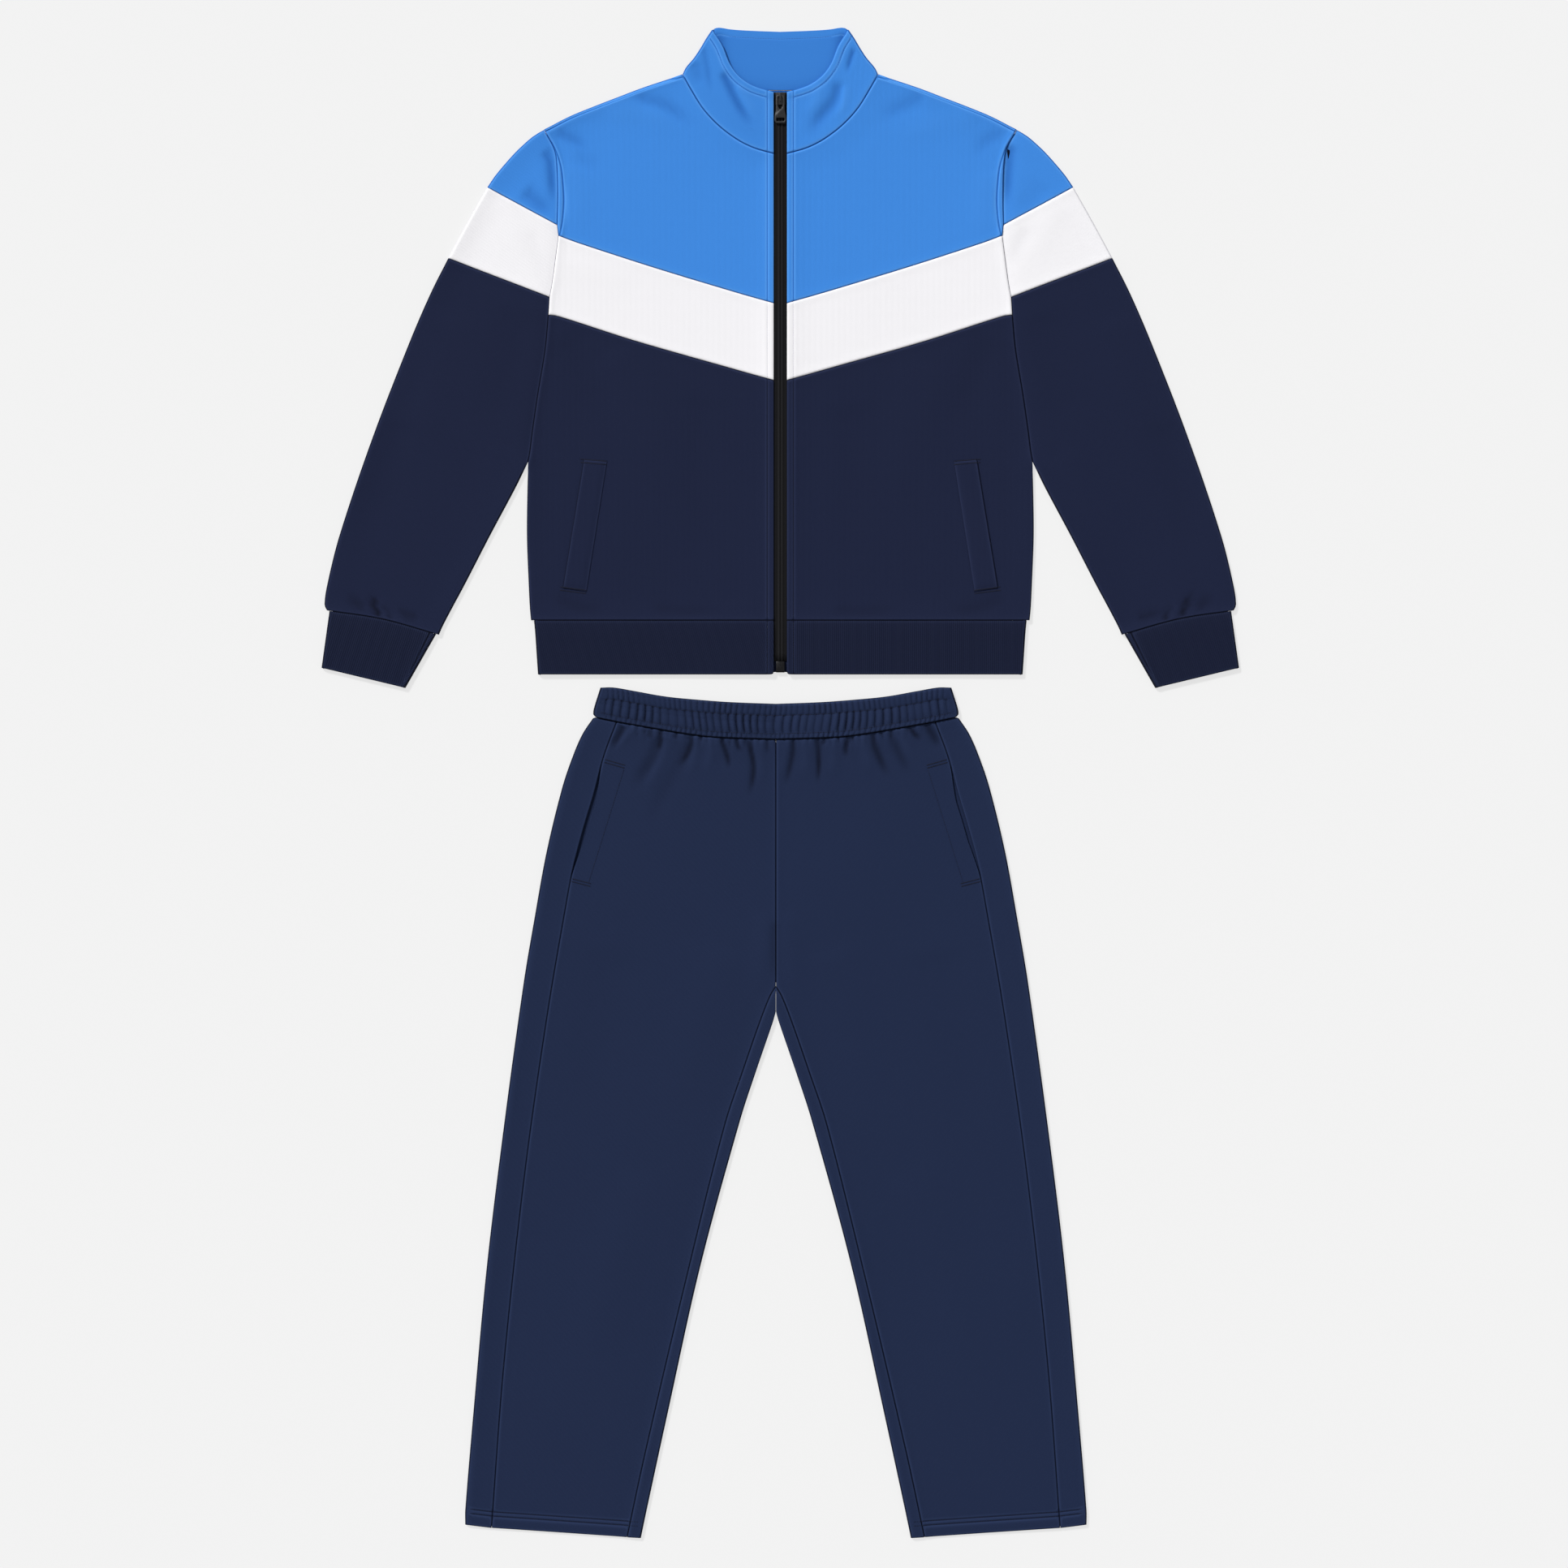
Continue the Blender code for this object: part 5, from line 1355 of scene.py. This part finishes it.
def at_heights(points, heights):
    line = smooth(points)
    rising = np.maximum.accumulate(line[:, 1] + np.arange(len(line)) * 1e-9)
    return np.column_stack([np.interp(heights, rising, line[:, 0]), np.clip(heights, rising[0], rising[-1])])


MARKS = row_marks()
CROTCH_ROW = int(np.searchsorted(MARKS, ROWS_TO_CROTCH - 1 - 1e-4))


def leg_lines():
    numbers = np.arange(len(ROW_HEIGHTS["outer"]))
    heights = {name: np.interp(MARKS, numbers, rows) for name, rows in ROW_HEIGHTS.items()}
    lines = {}
    seams = {"outer": LEG_OUTER, "side": SIDE_SEAM, "inner": LEG_INNER, "inseam": IN_SEAM}
    for name, points in seams.items():
        lines[name] = at_heights(points, heights[name])
    for name in ("inner", "inseam"):
        above = np.arange(len(MARKS)) > CROTCH_ROW
        lines[name][above] = np.column_stack([np.zeros(above.sum()), heights[name][above]])
    return lines


LEG = leg_lines()
LEG_HEM = np.array([LEG[name][0] for name in ("inner", "inseam", "side", "outer")])
print("leg rows:", len(MARKS), "and the crotch is row", CROTCH_ROW)

# %% Gathers
TOP_PITCH = 6.4
MIDDLE_PITCH = 9.0
FOOT_PITCH = 5.8
PUCKER_DEPTH = 2.0
PUCKER_REACH = 11.0
PUCKERS_END = 184.0
PUCKERS_FADE = 20.0
LOWEST_FOLD = 3.1


def gathered(x, pitch):
    """The gathers' section across the waist, about 0: round ridges with narrow valleys between them."""
    phase = 2 * math.pi * x / pitch + 0.9 * np.sin(x / 23.0 + pitch) + 0.6 * np.sin(x / 9.7 + pitch)
    uneven = 0.78 + 0.5 * np.sin(x / 31.0 + pitch) * np.sin(x / 13.0 + 0.5 * pitch)
    return (np.abs(np.sin(phase / 2)) ** 0.7 - 0.62) * uneven


GATHERS = sum(round(2 * WAIST_BOTTOM[-1][0] / pitch) for pitch in (TOP_PITCH, MIDDLE_PITCH, FOOT_PITCH))
print("gathers in three rows:", GATHERS)

# %% Leg fronts
LEG_COLUMNS = 72
# How far the rows above the crotch climb at least, so that none lies out of order.
CLIMB_STEP = 0.6
# Places of the first points across the strip outside the side seam, in millimetres from that seam.
STRIP_MARKS = np.array([0.0, 0.4, 1.0, 1.7, 2.4, 4.5])
NARROWEST_STRIP = 9.5
# Shares of the way from a leg's inner fold to the seam on its front.
WRAP_SHARES = np.array([0.0, 0.45, 0.65, 0.85, 0.93, 1.0])[:, None]


def shares_across(width, start, end):
    even = np.linspace(start[-1], width - end[-1], LEG_COLUMNS)
    marks = np.r_[0.0, start[:-1], even, width - np.array(end[-2::-1]), width]
    return marks / width


def leg_front(side, word):
    left, right = LEG["inseam"].copy(), LEG["side"].copy()
    waist_line = smooth(WAIST_BOTTOM)
    across = shares_across(SIDE_SEAM[-1][0], NEAR, NEAR) * SIDE_SEAM[-1][0]
    waist = np.column_stack([across, np.interp(across, waist_line[:, 0], waist_line[:, 1])])
    hem_shares = shares_across(np.linalg.norm(right[0] - left[0]), NEAR, NEAR)
    hem = left[0] + (right[0] - left[0]) * hem_shares[:, None]
    left[-1], right[-1] = waist[0], waist[-1]
    b, t, l, r = drawn_in(hem, waist, left, right)
    r[:, 0] -= np.interp(MARKS, np.arange(len(POCKET_SET_BACK)), POCKET_SET_BACK)
    plan = mapped(b, t, l, r)
    inseam = LEG["inseam"][: CROTCH_ROW + 1]
    centre = LEG["inseam"][CROTCH_ROW:]
    seams = [(hem, HEM_FOLD), (waist, UNDER), (inseam, TOPSTITCH), (centre, SEAM), (LEG["side"], TOPSTITCH)]
    seams += [(moved(hem, d), SUNK) for d in HEM_STITCHING]
    layer = lay(plan, "trousers", seams, side, LEG_STROKES)
    below = nearest(plan, waist_line)[0]
    puckers = gathered(plan[..., 0] * side, MIDDLE_PITCH) * PUCKER_DEPTH
    puckers = puckers * np.exp(-((below / PUCKER_REACH) ** 2))
    puckers *= ease((PUCKERS_END - plan[..., 0]) / PUCKERS_FADE)
    layer[..., 2] = np.maximum(layer[..., 2] + puckers, LOWEST_FOLD)
    # Painted shade in the valleys of the puckers and painted highlight on their tops.
    layer[..., 4] = np.clip(layer[..., 4] - puckers / DEEP_FOLD, -1.0, 1.0)
    return skin(f"leg_front_cloth_{word}", [layer], CLOTH, "leg", TROUSERS_AT, side, LEG_GRAIN)


def leg_back(side, word):
    outer, inner = LEG["outer"].copy(), LEG["inner"].copy()
    side_seam, inseam = moved(LEG["side"], -HALF_GAP), moved(LEG["inseam"][: CROTCH_ROW + 1], HALF_GAP)
    radius = EDGE_HEIGHT / 2
    inner[CROTCH_ROW, 0] = inseam[-1, 0] = HALF_GAP
    to_seam = inseam - inner[: CROTCH_ROW + 1]
    to_seam /= np.linalg.norm(to_seam, axis=1)[:, None]
    left = inner.copy()
    left[: CROTCH_ROW + 1] += to_seam * radius
    left[CROTCH_ROW + 1 :, 0] = HALF_GAP
    climb = left[CROTCH_ROW, 1] + CLIMB_STEP * np.arange(1, len(left) - CROTCH_ROW)
    left[CROTCH_ROW + 1 :, 1] = np.maximum(left[CROTCH_ROW + 1 :, 1], climb)
    columns = 34
    hem = np.linspace(left[0], outer[0], columns)
    waist = moved(run(WAIST_BOTTOM, columns - 1), -HALF_GAP)
    waist[0] = left[-1] = (HALF_GAP, waist[0, 1])
    outer[-1] = waist[-1]
    side_seam[-1] += (side_seam[-2] - side_seam[-1]) * 0.3
    plan = mapped(hem, waist, left, outer)
    seams = [(LEG_HEM, HEM_FOLD), (LEG["side"], TOPSTITCH), (smooth(WAIST_BOTTOM), UNDER)]
    seams += [(moved(LEG_HEM, d), SUNK) for d in HEM_STITCHING]
    rows = []
    strips = []
    for row, seam in zip(plan, side_seam):
        width = np.linalg.norm(row[-1] - seam)
        shares = np.r_[STRIP_MARKS / max(width, NARROWEST_STRIP), 0.55, 0.72, 1.0]
        strips.append(seam + (row[-1] - seam) * shares[:, None])
    strips = lay(np.array(strips), "trousers", seams, side, LEG_STROKES)
    for row, strip in zip(plan, strips):
        rows.append(folded(strip, row[-2::-1]))
    fold = inner[: CROTCH_ROW + 1]
    wrap_plan = fold[:, None] + (inseam - fold)[:, None] * WRAP_SHARES
    seams = [(LEG_HEM, HEM_FOLD), (LEG["inseam"][: CROTCH_ROW + 1], TOPSTITCH)]
    wrap_layer = lay(wrap_plan, "trousers", seams, side, LEG_STROKES)
    wrap = []
    for start, strip in zip(left, wrap_layer):
        turned = half_turn(strip[0], strip[1], strip[1])[::-1]
        turned[0] = (*start, 0.0, 0.0, 0.0)
        wrap.append(np.vstack([turned, strip[1:]]))
    return skin(f"leg_back_cloth_{word}", [rows, wrap], CLOTH, "leg", TROUSERS_AT, side, LEG_GRAIN)


for side, word in SIDES:
    back = leg_back(side, word)
    front = leg_front(side, word)
    declare(f"leg_back_{word}")
    declare(f"leg_front_{word}")

# %% [markdown]
# ## Waistband
# A wide elastic is sewn inside, which draws the cloth into small upright gathers.
# Two rows of stitching hold it down, so the gathers puff up in three channels.

# %% Waistband
WAIST_SPANS = 270
WAIST_SKIN = 1.0
TOP_CHANNEL = 14.0
FOOT_CHANNEL = 6.4
TOP_DEPTH, MIDDLE_DEPTH, FOOT_DEPTH = 1.7, 2.9, 1.8
CHANNEL_PUFF = 0.9
GATHERS_END = 206.0
GATHERS_FADE = 14.0


def waist_folds(x, from_top, from_foot):
    """The gathers' rise in each of three channels, and how near the cloth is to a row of stitching."""
    wide = from_top + from_foot - TOP_CHANNEL - FOOT_CHANNEL
    middle = (from_top - TOP_CHANNEL) / np.maximum(wide, 1.0)
    in_top, in_foot = from_top < TOP_CHANNEL, from_foot < FOOT_CHANNEL
    share = np.where(in_top, from_top / TOP_CHANNEL, np.where(in_foot, from_foot / FOOT_CHANNEL, middle))
    puff = np.sqrt(np.abs(np.sin(math.pi * np.clip(share, 0.0, 1.0))))
    lean = 1.4 * np.sin(from_foot / 9.0 + x / 41.0)
    rows = [gathered(x + lean, pitch) for pitch in (TOP_PITCH, MIDDLE_PITCH, FOOT_PITCH)]
    below_top = np.where(in_foot, rows[2] * FOOT_DEPTH, rows[1] * MIDDLE_DEPTH)
    gathers = np.where(in_top, rows[0] * TOP_DEPTH, below_top)
    from_rows = (from_top - TOP_CHANNEL, from_foot - FOOT_CHANNEL)
    stitched = sum(np.exp(-((away / 1.2) ** 2)) for away in from_rows)
    pinched = np.clip(stitched * (0.6 - 1.1 * rows[1]), 0.0, 1.2)
    return gathers * (0.4 + 0.6 * puff) + CHANNEL_PUFF * (puff - 0.8), gathers, pinched


def waistband():
    low, high = run(WAIST_BOTTOM, WAIST_SPANS, (), NEAR_FOLD), run(WAIST_TOP, WAIST_SPANS, (), NEAR_FOLD)
    left = run([low[0], high[0]], 26, NEAR, NEAR)
    b, t, l, r = drawn_in(low, high, left, run(WAIST_SIDE, 26, NEAR, NEAR))
    b[0, 0] = t[0, 0] = 0.0
    l[:, 0] = 0.0
    plan = mapped(b, t, l, r)
    from_top, from_foot = nearest(plan, high)[0], nearest(plan, low)[0]
    rise, line_shading_mask = profile_rise(plan, [(high, ROUND), (low, SEAM)])
    inner = ease((GATHERS_END - plan[..., 0]) / GATHERS_FADE)
    behind = np.r_[np.arange(len(b) - 2, 0, -4), 0]
    halves = []
    for side_sign in (1, -1):
        folds, gathers, pinched = waist_folds(plan[..., 0] * side_sign, from_top, from_foot)
        # Painted shade in the valleys of the gathers and beside the stitching, and painted highlight on their
        # ridges.
        shade = -gathers * inner + 1.4 * pinched * inner
        grid = marked(plan, WAIST_HEIGHT + rise + folds * inner, line_shading_mask, shade)
        halves.append(np.array([folded(upper, upper[behind, :2]) for upper in grid]))
    middle = (halves[0][:, :1] + halves[1][:, :1]) / 2
    left_half = np.concatenate([middle, halves[0][:, 1:]], axis=1)
    right_half = mirrored(np.concatenate([middle, halves[1][:, 1:]], axis=1))
    rows = np.concatenate([left_half, right_half[:, -2:0:-1], middle], axis=1)
    return skin("waistband_cloth", [rows], WAIST_SKIN, "leg", TROUSERS_AT)


elastic = waistband()
declare("waistband")

# %% [markdown]
# ## Seam allowances
# Behind each seam the two pieces' raw edges are pressed open. They show as a dark line in the seam,
# and they keep the light out of the tube. Each is a narrow strip on the back piece, under its seam.

# %% Seam allowances
ALLOWANCE_TOP = 1.75
ALLOWANCE_WALL = 0.4
BOTH_WAYS = (-5.0, 0.0, 5.0)
UPWARDS = (-0.14, 5.0, 10.0)


def allowance(name, points, share, across, finish, at, side):
    line = run(points, 60, share=share)
    plan = np.stack([moved(line, d) for d in across])
    height = np.full(plan.shape[:-1], ALLOWANCE_TOP)
    # The whole strip takes the full painted seam shade.
    grid = marked(plan, height, np.ones_like(height))
    strip = skin(name, [grid], ALLOWANCE_WALL, finish, at, side, single=True)


HEM_SEAM = [(8.0, HEM_SEAM_Y), (291.7, HEM_SEAM_Y)]
CAP_SEAM = [ARMHOLE_TO_SHOULDER[0], CAP_OUTER[0]]
SLEEVE_SEAM = [ARMHOLE_TO_BODY_YOKE[0], BAND_OUTER[0]]
# Each seam has its line, the share of it that is covered, its strip's edges, its dye and what it lies on.
BODY, SLEEVE = "jacket_back_lower", "sleeve_lower_{}"
ALLOWANCES = (
    ("yoke", YOKE_SEAM, (0.0, 0.985), BOTH_WAYS, "blue", BODY),
    ("cap", CAP_SEAM, (0.05, 0.96), BOTH_WAYS, "blue", SLEEVE),
    ("band", BAND_SEAM, (0.0, 0.985), BOTH_WAYS, "navy", BODY),
    ("sleeve", SLEEVE_SEAM, (0.04, 0.97), BOTH_WAYS, "navy", SLEEVE),
    ("cuff", CUFF_SEAM, (0.05, 0.95), UPWARDS, "navy", SLEEVE),
    ("hem", HEM_SEAM, (0.0, 0.985), UPWARDS, "navy", BODY),
    ("armhole", ARMHOLE[::6], (0.02, 0.985), BOTH_WAYS, "navy", BODY),
    ("waist", WAIST_BOTTOM, (0.0, 0.995), BOTH_WAYS, "leg", "leg_back_{}"),
)
for side, word in SIDES:
    for name, points, share, across, dye, below in ALLOWANCES:
        at = TROUSERS_AT if dye == "leg" else JACKET_AT
        allowance(f"{name}_allowance_{word}", points, share, across, dye, at, side)
centre = [(0.0, -345.0), (0.0, -200.0), (0.0, -64.0)]
allowance("centre_allowance", centre, (0.0, 1.0), BOTH_WAYS, "leg", TROUSERS_AT, 1)

# %% [markdown]
# ## Zip
# The zip's tape shows its smooth side, with a rounded ridge on each side of the closed line.
# The two ridges hide the coil. The tape is one sheet here, with the closed line as a groove in it.

# %% Zip tape
# Half of the tape's section, from its middle outwards: place, height and painted shade. Over 0 is painted
# shade, under 0 painted highlight.
TAPE_HALF = (
    (0.0, 3.75, 1.0),
    (0.5, 4.1, 0.7),
    (1.0, 4.35, 0.0),
    (1.6, 4.45, -0.5),
    (2.2, 4.4, -0.4),
    (2.8, 4.2, 0.0),
    (3.3, 3.9, 0.5),
    (3.8, 3.75, 0.8),
    (5.0, 3.72, 0.5),
    (7.4, 3.7, 0.5),
    (13.0, 3.7, 0.0),
    (20.0, 3.7, 0.0),
)
TAPE_SPAN = (15.7, 681.0)
TAPE_ROWS = 70
TAPE_WALL = 0.6
half = np.array([(x, 0.0, z, 0.0, shade) for x, z, shade in TAPE_HALF])
section = np.vstack([mirrored(half[:0:-1]), half])
rows = [section + (0.0, y, 0.0, 0.0, 0.0) for y in np.linspace(*TAPE_SPAN, TAPE_ROWS)]
ribbon = skin("zip_tape_cloth", [rows], TAPE_WALL, "tape", JACKET_AT, single=True)
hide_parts("zip_tape")


# %% Zip metal
def metal_material(name, dark, light):
    """Painted metal, a little rubbed."""
    finish, tree, shader = new_material(name)
    spot = tree.nodes.new("ShaderNodeTexCoord")
    rubbed = tree.nodes.new("ShaderNodeTexNoise")
    rubbed.inputs["Scale"].default_value = 700.0
    rubbed.inputs["Detail"].default_value = 4.0
    tree.links.new(spot.outputs["Object"], rubbed.inputs["Vector"])
    colour = blend_colours(tree, rubbed.outputs["Fac"], (*dark, 1.0), (*light, 1.0))
    tree.links.new(colour, shader.inputs["Base Color"])
    dull = maths(tree, "ADD", 0.22, maths(tree, "MULTIPLY", rubbed.outputs["Fac"], 0.25))
    tree.links.new(dull, shader.inputs["Roughness"])
    shader.inputs["Metallic"].default_value = 0.85
    return finish


def rounded(node, body, finish, width):
    """A copy of a node's form with its sharp edges rounded off."""
    form = bmesh.new()
    form.from_mesh(frame["nodes"][node].data)
    bmesh.ops.remove_doubles(form, verts=form.verts[:], dist=0.01 * MM)
    bmesh.ops.dissolve_limit(form, angle_limit=math.radians(1), verts=form.verts[:], edges=form.edges[:])
    form.verts.index_update()
    mesh = bpy.data.meshes.new(f"{node}_metal")
    mesh.from_pydata([v.co[:] for v in form.verts], [], [[v.index for v in f.verts] for f in form.faces])
    form.free()
    mesh.materials.append(finish)
    metal = bpy.data.objects.new(f"{node}_metal", mesh)
    bpy.context.scene.collection.objects.link(metal)
    metal.matrix_world = frame["nodes"][node].matrix_world
    edges = metal.modifiers.new("edges", "BEVEL")
    edges.width = width * MM
    edges.segments = 2
    edges.limit_method = "ANGLE"
    edges.angle_limit = math.radians(40)
    bpy.ops.object.select_all(action="DESELECT")
    metal.select_set(True)
    bpy.context.view_layer.objects.active = metal
    bpy.ops.object.modifier_apply(modifier=edges.name)
    bpy.ops.object.shade_smooth_by_angle(angle=math.radians(35))
    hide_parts(node)
    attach(metal, body)
    print(metal.name, len(metal.data.polygons), "faces")


METAL = metal_material("dark_zip_metal", (0.030, 0.030, 0.032), (0.085, 0.085, 0.088))
BLACK = metal_material("black_zip_metal", (0.012, 0.012, 0.013), (0.030, 0.030, 0.033))
rounded("zip_box", "garments", BLACK, 0.5)
rounded("zip_slider", "garments", METAL, 0.35)
rounded("zip_pull_tab", "pull_tab", METAL, 0.25)

# %% [markdown]
# ## Stitching
# One stitch is modelled, a thread that dips into the cloth at both ends. It is copied along every row
# of sewing that shows, each copy laid on the finished cloth below it. Each colour's stitches are one piece.

# %% One stitch
STITCH_LENGTH = 2.3
STITCH_RADIUS = 0.3
STITCH_PITCH = 3.0
STITCH_SINK = 0.12
BAR_PITCH = 1.6


def one_stitch():
    """A thread's corner places and faces, along X, in millimetres."""
    bpy.ops.object.select_all(action="DESELECT")
    bpy.ops.mesh.primitive_uv_sphere_add(segments=6, ring_count=5, radius=1.0)
    thread = bpy.context.object
    bpy.ops.object.mode_set(mode="EDIT")
    bpy.ops.mesh.select_all(action="SELECT")
    long = STITCH_LENGTH / 2
    bpy.ops.transform.resize(value=(STITCH_RADIUS, STITCH_RADIUS, long), center_override=(0.0, 0.0, 0.0))
    bpy.ops.transform.rotate(value=math.radians(90), orient_axis="Y", center_override=(0.0, 0.0, 0.0))
    bpy.ops.object.mode_set(mode="OBJECT")
    corners = np.array([v.co[:] for v in thread.data.vertices])
    # The sphere's faces come in an order that can differ between runs, so they get a fixed one here.
    faces = [list(f.vertices) for f in thread.data.polygons]
    faces = sorted(f[f.index(min(f)):] + f[: f.index(min(f))] for f in faces)
    bpy.data.objects.remove(thread, do_unlink=True)
    return corners, faces


STITCH, STITCH_FACES = one_stitch()
print("one stitch has", len(STITCH_FACES), "faces")


# %% Cloth below the stitches
def cloth_tree():
    """All cloth as one tree of faces, which finds the cloth's top at a place."""
    corners, faces = [], []
    for obj in bpy.data.objects:
        if obj.type == "MESH" and "cloth" in obj.name or obj.name.startswith(("front_", "back_")):
            base = len(corners)
            corners.extend(v.co[:] for v in obj.data.vertices)
            faces.extend([base + k for k in f.vertices] for f in obj.data.polygons)
    return BVHTree.FromPolygons(corners, faces)


CLOTH_TREE = cloth_tree()


def cloth_top(x, y):
    place = CLOTH_TREE.ray_cast(Vector((x * MM, y * MM, 0.05)), Vector((0.0, 0.0, -1.0)))[0]
    return place.z / MM if place else 0.0


# %% Thread
def thread_material(name, dark, light):
    finish, tree, shader = new_material(name)
    spot = tree.nodes.new("ShaderNodeTexCoord")
    plies = tree.nodes.new("ShaderNodeTexWave")
    plies.wave_type = "BANDS"
    plies.bands_direction = "DIAGONAL"
    plies.inputs["Scale"].default_value = 900.0
    tree.links.new(spot.outputs["Object"], plies.inputs["Vector"])
    colour = blend_colours(tree, plies.outputs["Fac"], (*dark, 1.0), (*light, 1.0))
    tree.links.new(colour, shader.inputs["Base Color"])
    shader.inputs["Roughness"].default_value = 0.6
    shader.inputs["Specular IOR Level"].default_value = 0.25
    return finish


def stitching(name, rows, finish):
    """A copy of the stitch at every pitch of every row.

    A row has its points, its garment's place and its pitch."""
    places, faces = [], []
    for points, at, pitch in rows:
        line = smooth(points) + at
        marks = np.arange(pitch / 2, lengths(line)[-1], pitch)
        here, behind, ahead = (at_marks(line, marks + d) for d in (0.0, -pitch / 3, pitch / 3))
        for spot, start, end in zip(here, behind, ahead):
            way = np.array([*(end - start), cloth_top(*end) - cloth_top(*start)])
            way[2] = np.clip(way[2], -0.6, 0.6)
            way /= np.linalg.norm(way)
            over = np.cross((0.0, 0.0, 1.0), way)
            over /= np.linalg.norm(over)
            turn = np.array([way, over, np.cross(way, over)])
            height = cloth_top(*spot) + STITCH_RADIUS - STITCH_SINK
            base = len(places) * len(STITCH)
            places.append(STITCH @ turn + (*spot, height))
            faces.extend([base + k for k in face] for face in STITCH_FACES)
    mesh = bpy.data.meshes.new(name)
    mesh.from_pydata((np.concatenate(places) * MM).tolist(), [], faces)
    mesh.shade_smooth()
    mesh.materials.append(finish)
    thread = bpy.data.objects.new(name, mesh)
    bpy.context.scene.collection.objects.link(thread)
    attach(thread, "garments")
    print(name, len(places), "stitches")


# %% Stitch rows
def on_both_sides(rows, at, pitch=STITCH_PITCH):
    """The rows and their mirror images."""
    rows = [np.array(row, float) for row in rows]
    return [(row, at, pitch) for row in rows] + [(row * (-1.0, 1.0), at, pitch) for row in rows]


def bar(start, end):
    """A bar tack: two rows so close that they look like one thick line."""
    line = np.array([start, end], float)
    return [moved(line, d) for d in (-0.25, 0.25)]


STITCH_X = ZIP_STITCHING[0, 0]
mouth = moved(run(COLLAR_MOUTH, 40), -MOUTH_STITCHING_IN)
mouth = mouth[mouth[:, 0] > STITCH_X][:-3]
back_top = moved(run(COLLAR_BACK_TOP, 30), -BACK_STITCHING_IN)
back_top = back_top[back_top[:, 0] < 62.0]
collar_rows = [
    [(STITCH_X, 437.0), (STITCH_X, 605.0)],
    [(STITCH_X, 613.0), (STITCH_X, mouth[0, 1])],
    mouth,
    back_top,
]
white_rows = [[(STITCH_X, 347.0), (STITCH_X, 431.0)]]
navy_rows = [
    [(STITCH_X, 4.0), (STITCH_X, 60.0)],
    [(STITCH_X, 67.0), (STITCH_X, 340.0)],
]
welt_bars = [
    *bar((234.0, 252.0), (203.0, 249.3)),
    *bar((233.6, 248.2), (203.6, 245.5)),
    *bar((257.5, 98.7), (227.0, 94.8)),
    *bar((257.0, 102.5), (227.6, 98.6)),
]
hem_marks = np.linspace(4.0, lengths(LEG_HEM)[-1] - 4.0, 30)
leg_hem_rows = [moved(at_marks(LEG_HEM, hem_marks), d) for d in HEM_STITCHING]
waist_rows = [
    moved(run(WAIST_TOP, 60, share=(0.0, 0.98)), -TOP_CHANNEL),
    moved(run(WAIST_BOTTOM, 60, share=(0.0, 0.98)), FOOT_CHANNEL),
]
pocket_rows = [[(177.7, -95.9), (218.5, -226.7)]]
pocket_bars = [
    *bar((199.5, -84.3), (175.8, -91.0)),
    *bar((200.4, -87.5), (176.7, -94.2)),
    *bar((238.8, -226.8), (217.1, -232.5)),
    *bar((238.0, -223.6), (216.3, -229.3)),
]
# Each thread is a little darker than its cloth, which paints in the shade of the stitch holes.
THREADS = {
    "blue": thread_material("blue_thread", (0.030, 0.170, 0.56), (0.042, 0.21, 0.66)),
    "white": thread_material("white_thread", (0.72, 0.71, 0.76), (0.82, 0.81, 0.86)),
    "navy": thread_material("navy_thread", (0.004, 0.006, 0.019), (0.008, 0.012, 0.035)),
    "leg": thread_material("trouser_thread", (0.003, 0.005, 0.017), (0.006, 0.010, 0.032)),
}
stitching("blue_stitching", on_both_sides(collar_rows, JACKET_AT), THREADS["blue"])
stitching("white_stitching", on_both_sides(white_rows, JACKET_AT), THREADS["white"])
navy_rows = on_both_sides(navy_rows, JACKET_AT) + on_both_sides(welt_bars, JACKET_AT, BAR_PITCH)
stitching("navy_stitching", navy_rows, THREADS["navy"])
trouser_rows = on_both_sides([*leg_hem_rows, *waist_rows, *pocket_rows], TROUSERS_AT)
trouser_rows += on_both_sides(pocket_bars, TROUSERS_AT, BAR_PITCH)
stitching("trouser_stitching", trouser_rows, THREADS["leg"])
